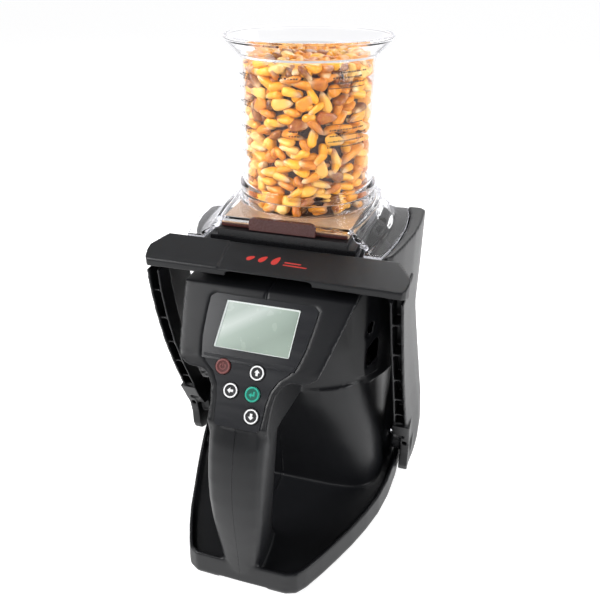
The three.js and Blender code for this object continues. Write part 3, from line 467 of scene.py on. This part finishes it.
def refine_pair(right, left, names, voxel, mat, body, iters, near, far, light, target, gap=0.00007):
    """two halves that meet at x = 0, refined as one and parted again along a hairline"""
    bm = bmesh.new()
    for node, sign in ((right, -1), (left, 1)):
        part = bmesh.new(); me = welded(node); part.from_mesh(me)
        for v in part.verts:
            if abs(v.co.x) < 0.00025:
                v.co.x = sign * 0.0002
        part.to_mesh(me); part.free()
        bm.from_mesh(me)
    me = bpy.data.meshes.new("pair"); bm.to_mesh(me); bm.free()
    lo = [min(a, b) for a, b in zip(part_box(right)[0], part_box(left)[0])]
    hi = [max(a, b) for a, b in zip(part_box(right)[1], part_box(left)[1])]
    whole = skin(me, "pair", voxel, iters, near, far, light, 22.0, lo, hi, seam=0.0004)
    out = []
    for node, name, sign in ((right, names[0], 1), (left, names[1], -1)):
        m2 = whole.data.copy()
        bm = bmesh.new(); bm.from_mesh(m2)
        r = bmesh.ops.bisect_plane(bm, geom=bm.verts[:] + bm.edges[:] + bm.faces[:], plane_co=(sign * gap, 0, 0), plane_no=(-sign, 0, 0), clear_outer=True)
        cut = [e for e in r["geom_cut"] if isinstance(e, bmesh.types.BMEdge)]
        bmesh.ops.triangle_fill(bm, edges=cut, use_beauty=False, use_dissolve=False)
        bmesh.ops.recalc_face_normals(bm, faces=bm.faces)
        for e in cut:
            if e.is_valid:
                e.smooth = False
        bm.to_mesh(m2); bm.free()
        o = bpy.data.objects.new(name, m2)
        bpy.context.scene.collection.objects.link(o)
        out.append(finish_skin(o, node, mat, body, target))
    old = whole.data
    bpy.data.objects.remove(whole); bpy.data.meshes.remove(old)
    return out


def dress(node, mat, bevel=0.0, seg=2, angle=32):
    """a CAD node that is kept: its material, a small bevel and clean shading"""
    o = NODES[node]
    o.data.materials.clear()
    o.data.materials.append(mat)
    if bevel:
        w = o.modifiers.new("weld", "WELD"); w.merge_threshold = 1e-6
        b = o.modifiers.new("bevel", "BEVEL")
        b.width = bevel; b.segments = seg; b.limit_method = "ANGLE"; b.angle_limit = math.radians(angle)
        b.harden_normals = False; b.use_clamp_overlap = True
    return o


def lathe(name, profile, seg, mat, body, centre=(0, 0), close=True):
    """turned about the cup axis; profile of (r, z) in millimetres, closed on itself"""
    verts, faces, ring = [], [], []
    n = len(profile)
    for r, z in profile:
        if r < 1e-6:
            ring.append([len(verts)]); verts.append(P(centre[0], centre[1], z))
        else:
            row = []
            for k in range(seg):
                t = 2 * math.pi * k / seg
                row.append(len(verts)); verts.append(P(centre[0] + r * math.cos(t), centre[1] + r * math.sin(t), z))
            ring.append(row)
    last = n if close else n - 1
    for i in range(last):
        a, b = ring[i], ring[(i + 1) % n]
        if len(a) == 1 and len(b) == 1:
            continue
        for k in range(seg):
            l = (k + 1) % seg
            if len(a) == 1:
                faces.append((a[0], b[l], b[k]))
            elif len(b) == 1:
                faces.append((a[k], a[l], b[0]))
            else:
                faces.append((a[k], a[l], b[l], b[k]))
    o = obj_from(name, verts, faces, mat, body)
    bm = bmesh.new(); bm.from_mesh(o.data)
    bmesh.ops.recalc_face_normals(bm, faces=bm.faces)
    bm.to_mesh(o.data); bm.free()
    return o


def round_profile(pts, radii, seg=5):
    """rounds the corners of a closed profile"""
    out, n = [], len(pts)
    for i, (p, r) in enumerate(zip(pts, radii)):
        p = Vector(p); a = Vector(pts[i - 1]) - p; b = Vector(pts[(i + 1) % n]) - p
        if not r or p.x < 1e-6:
            out.append(tuple(p)); continue
        ang = a.angle(b)
        t = min(r / math.tan(ang / 2), a.length * 0.45, b.length * 0.45)
        a.normalize(); b.normalize()
        for k in range(seg + 1):
            u = k / seg
            q = (1 - u) ** 2 * (p + a * t) + 2 * u * (1 - u) * p + u * u * (p + b * t)
            out.append((q.x, q.y))
    return out


def prism(outline, h0, h1, to_world, bev=0.0):
    """verts and faces of a flat plate from an outline in its own plane; the top edge can be eased"""
    n = len(outline)
    c = (sum(p[0] for p in outline) / n, sum(p[1] for p in outline) / n)
    levels = [(h0, 0.0), (h1 - bev, 0.0), (h1, bev)] if bev else [(h0, 0.0), (h1, 0.0)]
    verts, faces = [], []
    for h, s in levels:
        for x, y in outline:
            d = math.hypot(x - c[0], y - c[1]) or 1
            verts.append(to_world(x - (x - c[0]) / d * s, y - (y - c[1]) / d * s, h))
    for L in range(len(levels) - 1):
        for k in range(n):
            l = (k + 1) % n
            faces.append((L * n + k, L * n + l, (L + 1) * n + l, (L + 1) * n + k))
    faces.append(tuple(range(n))[::-1])
    faces.append(tuple(range((len(levels) - 1) * n, len(levels) * n)))
    return verts, faces


def fix_normals(o):
    bm = bmesh.new(); bm.from_mesh(o.data)
    bmesh.ops.recalc_face_normals(bm, faces=bm.faces)
    bm.to_mesh(o.data); bm.free()
    return o


def join_lists(parts):
    verts, faces = [], []
    for v, f in parts:
        o = len(verts)
        verts += list(v); faces += [tuple(i + o for i in q) for q in f]
    return verts, faces


# ------------------------------------------------------------------ the display plane and the keypad plane
SL = math.radians(36.4)
DOWN = (-math.cos(SL), -math.sin(SL)); NORM = (-math.sin(SL), math.cos(SL))
LCD_TOP = (-84.2, 156.4)


def slope(x, s, h):
    return P(x, LCD_TOP[0] + DOWN[0] * s + NORM[0] * h, LCD_TOP[1] + DOWN[1] * s + NORM[1] * h)


KNEE = (LCD_TOP[0] + DOWN[0] * 33.0, LCD_TOP[1] + DOWN[1] * 33.0)
TOE = (-130.0, 110.0)
KL = math.hypot(TOE[0] - KNEE[0], TOE[1] - KNEE[1])
KD = ((TOE[0] - KNEE[0]) / KL, (TOE[1] - KNEE[1]) / KL)
KN = (KD[1], -KD[0])


def pad(x, s, h):
    return P(x, KNEE[0] + KD[0] * s + KN[0] * h, KNEE[1] + KD[1] * s + KN[1] * h)


# ------------------------------------------------------------------ moulded black parts
V = 0.82 * MM
refine_pair("body_shell_right", "body_shell_left", ("shell_right", "shell_left"), V, M["shell"], "body", 70, 1.2, 6.0, 5, 170000)
refine("bail_arm_right", "arm_right", 0.6 * MM, M["bail"], "bail", 40, near=0.8, far=4, light=4, target=60000)
refine("bail_arm_left", "arm_left", 0.6 * MM, M["bail"], "bail", 40, near=0.8, far=4, light=4, target=60000)
refine("bail_bar", "bar", 0.5 * MM, M["bail"], "bail", 20, near=1.0, far=5, light=4, target=60000)
for n in ("bottom_cover", "battery_door"):
    dress(n, M["shell"], 0.0004)
for n in ("battery_tray", "buzzer", "inlet_ring", "slide_frame"):
    if n in NODES:
        dress(n, M["dark"], 0.0003)
for n in ("foot_front_left", "foot_front_right", "foot_rear_left", "foot_rear_right"):
    dress(n, M["rubber"], 0.0002)
for n in ("battery_1", "battery_2", "battery_3", "battery_4"):
    dress(n, M["battery"], 0.0003)
for n in ("pivot_pin_left", "pivot_pin_right", "temperature_probe"):
    dress(n, M["steel"], 0.0002)
for n in ("cover_screw_front_left", "cover_screw_front_right", "cover_screw_rear_left", "cover_screw_rear_right"):
    dress(n, M["steel"], 0.00015)
for n in ("chassis_plate", "load_cell_foot", "load_cell", "cell_stand"):
    dress(n, M["alu"], 0.0003)
for n in ("ring_electrode", "floor_electrode", "battery_contact_plate"):
    dress(n, M["brass"], 0.0001)
dress("test_cell", M["cell"], 0.0003)
for n in ("main_board", "keypad_board"):
    dress(n, M["board"], 0.0001)
dress("display_module", M["cell"], 0.0002)
sp = dress("shutter_plate", M["shutter"], 0.0003)
sp.data.materials.append(M["plate"])
for poly in sp.data.polygons:
    c = sp.matrix_world @ poly.center
    poly.material_index = 0 if c.y < AX - 0.0492 else 1
dress("keypad_overlay", M["film"])

# ------------------------------------------------------------------ display window, and a light frame round it that paints the highlight on its edges
win, wf = prism([(-21.9, -0.9), (21.9, -0.9), (21.9, 28.4), (-21.9, 28.4)], -2.55, -1.15, slope, 0.25)
o = fix_normals(obj_from("display_glass", win, wf, M["lcd"], "body", smooth=False))
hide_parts("display_window")


def frame_ring(outer, inner, h_out, h_in, base):
    v, f = [], []
    for pts, h in ((outer, base), (outer, h_out), (inner, h_in), (inner, base)):
        for x, s in pts:
            v.append(slope(x, s, h))
    n = len(outer)
    for L in range(4):
        for k in range(n):
            l = (k + 1) % n
            a, b = L * n, ((L + 1) % 4) * n
            f.append((a + k, a + l, b + l, b + k))
    return v, f


def rrect(x0, x1, s0, s1, r, seg=4):
    out = []
    for cx, cy, a0 in ((x1 - r, s0 + r, -90), (x1 - r, s1 - r, 0), (x0 + r, s1 - r, 90), (x0 + r, s0 + r, 180)):
        for k in range(seg + 1):
            a = math.radians(a0 + 90 * k / seg)
            out.append((cx + r * math.cos(a), cy + r * math.sin(a)))
    return out


# a thin light grey frame round the opening: painted highlight along the window's edges
v, f = frame_ring(rrect(-20.6, 20.6, 0.2, 27.3, 0.7), rrect(-20.0, 20.0, 0.8, 26.7, 0.5), -0.25, -1.0, -1.08)
o = fix_normals(obj_from("window_edge_highlight", v, f, M["frame_grey"], "body", smooth=False))

# ------------------------------------------------------------------ keys
def disc(cx, cs, r, seg=40):
    return [(cx + r * math.cos(2 * math.pi * k / seg), cs + r * math.sin(2 * math.pi * k / seg)) for k in range(seg)]


def key_cap(cx, cs):
    """rounded cap, slightly dished, on its stem"""
    prof = [(0, -4.7), (2.9, -4.7), (2.9, -0.3), (4.1, -0.3), (4.15, -0.2), (4.15, 0.42), (4.08, 0.62), (3.9, 0.76), (3.6, 0.82), (3.0, 0.80), (1.5, 0.74), (0, 0.72)]
    v, f, rows, seg = [], [], [], 48
    for r, h in prof:
        if r == 0:
            rows.append([len(v)]); v.append(pad(cx, cs, h))
        else:
            rows.append(list(range(len(v), len(v) + seg)))
            v += [pad(x, s, h) for x, s in disc(cx, cs, r, seg)]
    for a, b in zip(rows, rows[1:]):
        for k in range(seg):
            l = (k + 1) % seg
            if len(a) == 1: f.append((a[0], b[k], b[l]))
            elif len(b) == 1: f.append((a[l], a[k], b[0]))
            else: f.append((a[k], b[k], b[l], a[l]))
    return v, f


def flat_ring(cx, cs, r0, r1, h0, h1, seg=48):
    v, f = [], []
    for r, h in ((r1, h0), (r1, h1 - 0.03), (r1 - 0.05, h1), (r0 + 0.05, h1), (r0, h1 - 0.03), (r0, h0)):
        v += [pad(x, s, h) for x, s in disc(cx, cs, r, seg)]
    for L in range(6):
        for k in range(seg):
            l = (k + 1) % seg
            a, b = L * seg, ((L + 1) % 6) * seg
            f.append((a + k, a + l, b + l, b + k))
    return v, f


def arrow(cx, cs, ang, kind="plain"):
    if kind == "plain":
        pts = [(0, 1.75), (1.5, 0.15), (0.62, 0.15), (0.62, -1.5), (-0.62, -1.5), (-0.62, 0.15), (-1.5, 0.15)]
    else:  # return arrow
        pts = [(1.35, 1.5), (1.35, -0.85), (-0.35, -0.85), (-0.35, -1.75), (-1.75, -0.45), (-0.35, 0.8), (-0.35, 0.0), (0.5, 0.0), (0.5, 1.5)]
    c, s = math.cos(ang), math.sin(ang)
    out = [(cx + x * c - y * s, cs - (x * s + y * c)) for x, y in pts]
    return prism(out, 0.60, 0.88, pad)


KEYS = {
    "power": (-12.6, 4.0, "key_red", "key_red_ring", None),
    "up": (6.2, 4.4, "key_black", "white", 0.0),
    "left": (-6.2, 15.4, "key_black", "white", math.pi / 2),
    "enter": (5.6, 15.4, "key_green", "key_green_ring", "return"),
    "down": (7.0, 26.4, "key_black", "white", math.pi),
}
for k, (x, s, cap, ringm, direction) in KEYS.items():
    b = k + "_button"
    v, f = key_cap(x, s)
    o = fix_normals(obj_from(k + "_cap", v, f, M[cap], b))
    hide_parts(k + "_key")
    parts = [flat_ring(x, s, 3.0, 3.72, 0.55, 0.89)]
    if direction == "return":
        parts.append(arrow(x, s, 0, "return"))
    elif direction is not None:
        parts.append(arrow(x, s, direction))
    else:  # power symbol: open ring and bar
        arc, n0 = [], 24
        pr = []
        for rr, rev in ((1.75, False), (1.25, True)):
            seq = [math.radians(-90 + 35 + (290) * t / n0) for t in range(n0 + 1)]
            if rev: seq = seq[::-1]
            pr += [(x + rr * math.cos(a), s + rr * math.sin(a)) for a in seq]
        parts.append(prism(pr, 0.60, 0.86, pad))
        parts.append(prism([(x - 0.25, s - 2.1), (x + 0.25, s - 2.1), (x + 0.25, s - 0.2), (x - 0.25, s - 0.2)], 0.60, 0.86, pad))
    v, f = join_lists(parts)
    o = fix_normals(obj_from(k + "_legend", v, f, M[ringm], b, smooth=False))

# ------------------------------------------------------------------ three seeds and a line on the bar
from mathutils.bvhtree import BVHTree
BAR = bpy.data.objects["bar"]
bvh = BVHTree.FromObject(BAR, bpy.context.evaluated_depsgraph_get())
eye = cam_obj.location.copy()


def through(px, py):
    """where the sight line through a spot of the view meets the bar"""
    k = 36.0 / 36.96 / 600.0
    d = Vector(((px - 300) * k, (300 - py) * k, -1.0)).normalized()
    d = cam_obj.rotation_euler.to_matrix() @ d
    hit = bvh.ray_cast(eye, d)
    return hit[0], hit[1]


def on_bar(x, y):
    """a spot on the face of the bar: x along it, y up it, both in millimetres from the middle of the mark"""
    return MARK_O + MARK_X * (x * MM) + MARK_Y * (y * MM)


a0, n0v = through(240, 257); a1, n1v = through(312, 268)
if a0 is not None and a1 is not None:
    MARK_X = (a1 - a0).normalized()
    MARK_N = n0v.normalized()
    MARK_Y = MARK_N.cross(MARK_X).normalized()
    if MARK_Y.z < 0: MARK_Y = -MARK_Y
    MARK_O = (a0 + a1) / 2 + MARK_N * 0.00003
    v, f = [], []

    def flat(pts):
        b0 = len(v); m = len(pts)
        for h in (-0.00004, 0.00006):
            v.extend(on_bar(x, y) + MARK_N * h for x, y in pts)
        f.append(tuple(range(b0, b0 + m))[::-1]); f.append(tuple(range(b0 + m, b0 + 2 * m)))
        for k in range(m):
            l = (k + 1) % m
            f.append((b0 + k, b0 + l, b0 + m + l, b0 + m + k))

    def seed(cx, cy, size, turn):
        pts = []
        for k in range(28):
            t = 2 * math.pi * k / 28
            x = size * 0.52 * math.sin(t) * (1 - 0.34 * math.cos(t)); y = size * math.cos(t)
            pts.append((cx + x * math.cos(turn) - y * math.sin(turn), cy + x * math.sin(turn) + y * math.cos(turn)))
        flat(pts)

    for cx, cy, sz, tn in ((-14.5, 0.5, 2.5, -1.0), (-7.5, 0.9, 2.9, -0.75), (0.0, 1.1, 3.3, -0.5)):
        seed(cx, cy, sz, tn)
    flat([(4.5, -1.4), (17.5, -1.4), (18.1, -0.7), (4.8, -0.7)])
    flat([(4.9, 0.5), (14.0, 0.5), (14.4, 1.2), (5.2, 1.2)])
    o = fix_normals(obj_from("seed_mark", v, f, M["mark_red"], "bail", smooth=False))

# ------------------------------------------------------------------ loading cup
CUP_R, WALL = 39.0, 2.2
prof = [(36.7, 187.5), (38.5, 187.5), (38.5, 196.4), (41.15, 196.4), (41.15, 200.0), (39.0, 201.4), (39.0, 271.2), (46.2, 278.9), (46.95, 280.2), (46.95, 281.4), (44.9, 281.4), (44.5, 280.2), (36.9, 272.8), (36.75, 270.6)]
rad = [0.5, 0.5, 0.8, 0.7, 0.9, 1.6, 2.6, 0.8, 0.4, 0.45, 0.45, 0.8, 2.2, 3.0]
o = lathe("cup", round_profile(prof, rad), 144, M["clear"], "loader")
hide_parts("loading_cup")

# hood: the moulded clear cover, refined
hood = refine("hopper_hood", "hood", 0.62 * MM, M["clear"], "loader", 60, near=0.8, far=4.0, light=5, target=110000)
# the sideways-facing flange faces of the hood take the whitish edge material: painted highlight
hood.data.materials.append(M["frost"])
for poly in hood.data.polygons:
    c, nn = poly.center, poly.normal
    z = (c.z - DZ) / MM
    r = math.hypot(c.x, c.y - AX) / MM
    if abs(nn.z) < 0.5 and (z < 178.4 and r > 52.0):
        poly.material_index = 1

# printed scale on the cup: ticks and numerals, wrapped on the wall
def wrap(x, z, r=39.03):
    t = x / r - math.pi / 2
    return P(r * math.cos(t), r * math.sin(t), z)


def printed(outlines, th=0.06):
    parts = []
    for pts in outlines:
        v, f = [], []
        n = len(pts)
        for r in (39.02, 39.02 + th):
            v += [wrap(x, z, r) for x, z in pts]
        f.append(tuple(range(n))); f.append(tuple(range(n, 2 * n))[::-1])
        for k in range(n):
            l = (k + 1) % n
            f.append((k, l, n + l, n + k))
        parts.append((v, f))
    return parts


SEG7 = {"0": "abcdef", "1": "bc", "2": "abged", "3": "abgcd", "4": "fgbc", "5": "afgcd", "6": "afgedc", "7": "abc", "8": "abcdefg", "9": "abcdfg"}


def digit(ch, x, z, w=1.9, h=3.2, t=0.5):
    segs = {"a": (x, z + h - t, w, t), "d": (x, z, w, t), "g": (x, z + h / 2 - t / 2, w, t),
            "b": (x + w - t, z + h / 2, t, h / 2), "c": (x + w - t, z, t, h / 2), "e": (x, z, t, h / 2), "f": (x, z + h / 2, t, h / 2)}
    out = []
    for s in SEG7[ch]:
        a, b, c, d = segs[s]
        out.append([(a, b), (a + c, b), (a + c, b + d), (a, b + d)])
    return out


def bar(x0, x1, z, t=0.45):
    n = max(1, int((x1 - x0) / 2.5))
    top = [(x0 + (x1 - x0) * k / n, z + t) for k in range(n + 1)]
    return [[(x0 + (x1 - x0) * k / n, z) for k in range(n + 1)] + top[::-1]]


marks = []
for k, z in enumerate((262, 248, 234, 220, 206)):
    marks += bar(-41, -34, z)
    for j, ch in enumerate(str(350 - 50 * k)):
        marks += digit(ch, -32.6 + j * 2.6, z - 1.4)
for z in (255, 241, 227, 213):
    marks += bar(-41, -37.5, z)
prng = random.Random(7)


def dashes(x0, x1, z, h=0.95):
    """a row of short strokes that stands for a printed line"""
    out, x = [], x0
    while x < x1:
        w = prng.uniform(0.5, 1.5)
        out.append([(x, z), (x + w, z), (x + w, z + h * prng.uniform(0.6, 1.0)), (x, z + h * prng.uniform(0.6, 1.0))])
        x += w + prng.uniform(0.3, 0.7)
    return out


for x0, x1, zs in ((22, 46, (266.0, 263.4, 260.8)), (-7, 9, (263.2,)), (0, 9, (236.6, 234.2)), (21, 47, (237.0, 234.0, 231.0, 228.0))):
    for z in zs:
        marks += dashes(x0 + prng.uniform(0, 2), x1 - prng.uniform(0, 4), z)
for z in (258.6, 240.2):
    marks += bar(21, 44, z, 0.35)
v, f = join_lists(printed(marks))
o = fix_normals(obj_from("cup_scale", v, f, M["mark_black"], "loader", smooth=False))

# ------------------------------------------------------------------ maize kernels
rng = random.Random(41)


def kernel_mesh(L, W, T, crease):
    """a maize kernel: flat wedge, broad dented crown, narrow tip; returns verts in its own frame and its tip factors"""
    nu, nv = 14, 9
    verts, tips = [], []
    for j in range(nv):
        t = j / (nv - 1)
        y = -L / 2 + L * t
        prof = math.sin(math.pi * min(1.0, max(0.0, (0.06 + 0.94 * t)))) if t > 0.82 else 1.0
        w = W / 2 * (0.30 + 0.70 * min(1.0, t / 0.62) ** 0.75)
        th = T / 2 * (0.42 + 0.58 * min(1.0, t / 0.45))
        end = math.sqrt(max(0.0, 1 - ((t - 0.80) / 0.20) ** 2)) if t > 0.80 else 1.0
        end = max(end, 0.0)
        if t < 0.10:
            end = math.sqrt(max(0.0, 1 - ((0.10 - t) / 0.10) ** 2))
        for i in range(nu):
            a = 2 * math.pi * i / nu
            ca, sa = math.cos(a), math.sin(a)
            x = w * end * math.copysign(abs(ca) ** 0.75, ca)
            z = th * end * math.copysign(abs(sa) ** 0.85, sa)
            if sa > 0.3 and 0.15 < t < 0.75:
                z -= crease * math.exp(-((x / (0.24 * W)) ** 2)) * math.sin(math.pi * (t - 0.15) / 0.6)
            verts.append((x, y, z))
            tips.append(max(0.0, min(1.0, (0.34 - t) / 0.22)))
    faces = []
    for j in range(nv - 1):
        for i in range(nu):
            k = (i + 1) % nu
            faces.append((j * nu + i, j * nu + k, (j + 1) * nu + k, (j + 1) * nu + i))
    faces.append(tuple(range(nu))[::-1]); faces.append(tuple(range((nv - 1) * nu, nv * nu)))
    return verts, faces, tips


variants = [kernel_mesh(rng.uniform(10.4, 12.8), rng.uniform(6.4, 8.2), rng.uniform(4.2, 5.3), rng.uniform(0.3, 0.7)) for _ in range(12)]
spots = []


def poisson_cyl(r, z0, z1, dmin, tries):
    got = []
    for _ in range(tries):
        t, z = rng.uniform(0, 2 * math.pi), rng.uniform(z0, z1)
        ok = True
        for (t2, z2) in got:
            dz = z - z2
            if abs(dz) < dmin:
                dt = (t - t2 + math.pi) % (2 * math.pi) - math.pi
                if dz * dz + (r * dt * 0.56) ** 2 < dmin * dmin:
                    ok = False; break
        if ok:
            got.append((t, z))
    return got


SQ = 0.56            # kernels lie across, so they stand closer one above another


for r, dmin in ((33.4, 4.25), (29.6, 4.8)):
    for t, z in poisson_cyl(r, 189.5, 266.5, dmin, 9000):
        spots.append((Vector((r * math.cos(t), r * math.sin(t), z)), t, "wall"))


def poisson_disc(R, z, dmin, tries):
    got = []
    for _ in range(tries):
        a, rr = rng.uniform(0, 2 * math.pi), R * math.sqrt(rng.random())
        p = Vector((rr * math.cos(a), rr * math.sin(a), z + rng.uniform(-1.2, 1.2)))
        if all((p.xy - q.xy).length > dmin for q in got):
            got.append(p)
    return got


for z, dmin in ((268.2, 5.4), (265.2, 5.8)):
    for p in poisson_disc(33.0, z, dmin, 2600):
        spots.append((p, math.atan2(p.y, p.x), "top"))
KV, KF, KC = [], [], []
for c, t, kind in spots:
    vs, fs, tips = variants[rng.randrange(len(variants))]
    # most kernels lie across with their narrow side out, some lie flat, some show their crown
    spin = rng.gauss(math.pi / 2, 0.30) if rng.random() < 0.80 else rng.uniform(0, math.pi * 2)
    if rng.random() < 0.5:
        spin += math.pi
    mode = rng.random()
    if kind == "wall":
        normal = Vector((math.cos(t), math.sin(t), 0)); side = Vector((-math.sin(t), math.cos(t), 0)); up = Vector((0, 0, 1))
        tilt, roll = rng.gauss(0, 0.22), rng.gauss(0, 0.45)
        if mode < 0.66:
            roll = rng.choice((-1, 1)) * rng.gauss(1.32, 0.22)
        elif mode > 0.85:
            tilt = rng.gauss(1.35, 0.2)
    else:
        normal = Vector((0, 0, 1)); side = Vector((1, 0, 0)); up = Vector((0, 1, 0))
        spin = rng.uniform(0, 2 * math.pi); tilt = rng.gauss(0, 0.32); roll = rng.gauss(0, 0.75)
    basis = Matrix((side, up, normal)).transposed()
    rot = basis @ Matrix.Rotation(spin, 3, "Z") @ Matrix.Rotation(tilt, 3, "X") @ Matrix.Rotation(roll, 3, "Y")
    pts = [rot @ Vector(v) + c for v in vs]
    rmax = max(math.hypot(p.x, p.y) for p in pts)
    if rmax > 36.35:
        q = Vector((c.x, c.y, 0)).normalized() * (rmax - 36.35)
        pts = [p - q for p in pts]
        over = max(math.hypot(p.x, p.y) for p in pts)
        if over > 36.5:
            continue
    zt = max(p.z for p in pts) - 271.4
    if zt > 0:
        pts = [p - Vector((0, 0, zt)) for p in pts]
    zb = 186.6 - min(p.z for p in pts)
    if zb > 0:
        pts = [p + Vector((0, 0, zb)) for p in pts]
    if kind == "top":
        pass
    base = len(KV)
    tone = min(1.0, max(0.0, rng.gauss(0.48, 0.24)))
    if rng.random() < 0.07: tone = rng.uniform(0.86, 1.0)
    if rng.random() < 0.10: tone = rng.uniform(0.0, 0.14)
    var = rng.random()
    KV += [P(*p) for p in pts]
    KF += [tuple(i + base for i in f) for f in fs]
    KC += [(tone, tp, var, 1.0) for tp in tips]
o = obj_from("maize_kernels", KV, KF, M["kernel"], "loader")
ca = o.data.color_attributes.new("kernel", "FLOAT_COLOR", "POINT")
ca.data.foreach_set("color", [c for q in KC for c in q])
fix_normals(o)
ss = o.modifiers.new("sub", "SUBSURF"); ss.levels = 1; ss.render_levels = 1
apply_mods(o)
o.data.polygons.foreach_set("use_smooth", [True] * len(o.data.polygons))
# a dark solid inside the kernels, so that the gaps between them show painted shade
core = lathe("grain_core_shade", [(0, 187.0), (30.0, 187.0), (31.0, 190), (31.0, 262), (28, 264.0), (0, 265.0)], 64, M["core"], "loader", close=False)
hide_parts("grain_charge")

# ------------------------------------------------------------------ floor, world, lamps
def plane(name, size, z, mat):
    me = bpy.data.meshes.new(name)
    me.from_pydata([(-size, -size, z), (size, -size, z), (size, size, z), (-size, size, z)], [], [(0, 1, 2, 3)])
    me.materials.append(mat)
    ob = bpy.data.objects.new(name, me)
    bpy.context.scene.collection.objects.link(ob)
    return ob


fm, nt, p = mat_new("floor_paper")
p.inputs["Roughness"].default_value = 0.75
f = noise(nt, 300, 2, 0.5)
link(nt, ramp(nt, f, [(0.0, (0.50, 0.50, 0.50)), (1.0, (0.53, 0.53, 0.53))]), p.inputs["Base Color"])
p.inputs["Emission Color"].default_value = (1, 1, 1, 1)
p.inputs["Emission Strength"].default_value = 0.82
plane("floor", 6.0, -0.0003, fm)

world = bpy.data.worlds.new("world")
bpy.context.scene.world = world
world.use_nodes = True
wt = world.node_tree
bg = wt.nodes["Background"]
co = wt.nodes.new("ShaderNodeTexCoord")
sep = wt.nodes.new("ShaderNodeSeparateXYZ")
wt.links.new(co.outputs["Generated"], sep.inputs[0])
front = maprange(wt, sep.outputs["Y"], -1.0, 1.0, 0.0, 1.0)
wt.links.new(ramp(wt, front, [(0.0, (0.035, 0.037, 0.042)), (0.5, (0.10, 0.102, 0.11)), (0.8, (0.75, 0.75, 0.76)), (1.0, (1.0, 1.0, 1.0))]), bg.inputs["Color"])
bg.inputs["Strength"].default_value = 0.80
seen = wt.nodes.new("ShaderNodeBackground")
seen.inputs["Color"].default_value = (1, 1, 1, 1)
wlp = wt.nodes.new("ShaderNodeLightPath")
wmx = wt.nodes.new("ShaderNodeMixShader")
wt.links.new(wlp.outputs["Is Camera Ray"], wmx.inputs["Fac"])
wt.links.new(bg.outputs["Background"], wmx.inputs[1])
wt.links.new(seen.outputs["Background"], wmx.inputs[2])
wt.links.new(wmx.outputs["Shader"], wt.nodes["World Output"].inputs["Surface"])
bpy.context.scene.view_settings.view_transform = "Standard"


def lamp(name, loc, target, size, power, color=(1, 1, 1), size_y=None):
    l = bpy.data.lights.new(name, "AREA")
    l.shape = "RECTANGLE"; l.size = size; l.size_y = size_y or size
    l.energy = power; l.color = color
    ob = bpy.data.objects.new(name, l)
    ob.location = loc
    ob.rotation_euler = (Vector(target) - Vector(loc)).to_track_quat("-Z", "Y").to_euler()
    bpy.context.scene.collection.objects.link(ob)
    return ob


lamp("key_left", (-0.80, -0.70, 0.75), (0, 0, 0.14), 0.30, 8.0)
lamp("gloss_left", (-0.74, -0.34, 1.02), (0, -0.05, 0.15), 0.20, 6.0, (1, 1, 1), 0.5)
lamp("fill_right", (0.95, -0.20, 0.40), (0, 0, 0.13), 0.30, 5.5, (0.98, 0.99, 1.0), 0.6)
lamp("back_top", (0.1, 0.8, 1.2), (0, 0, 0.2), 0.8, 13.0)
lamp("front_soft", (0.15, -1.3, 0.75), (0, 0, 0.15), 0.5, 3.0)
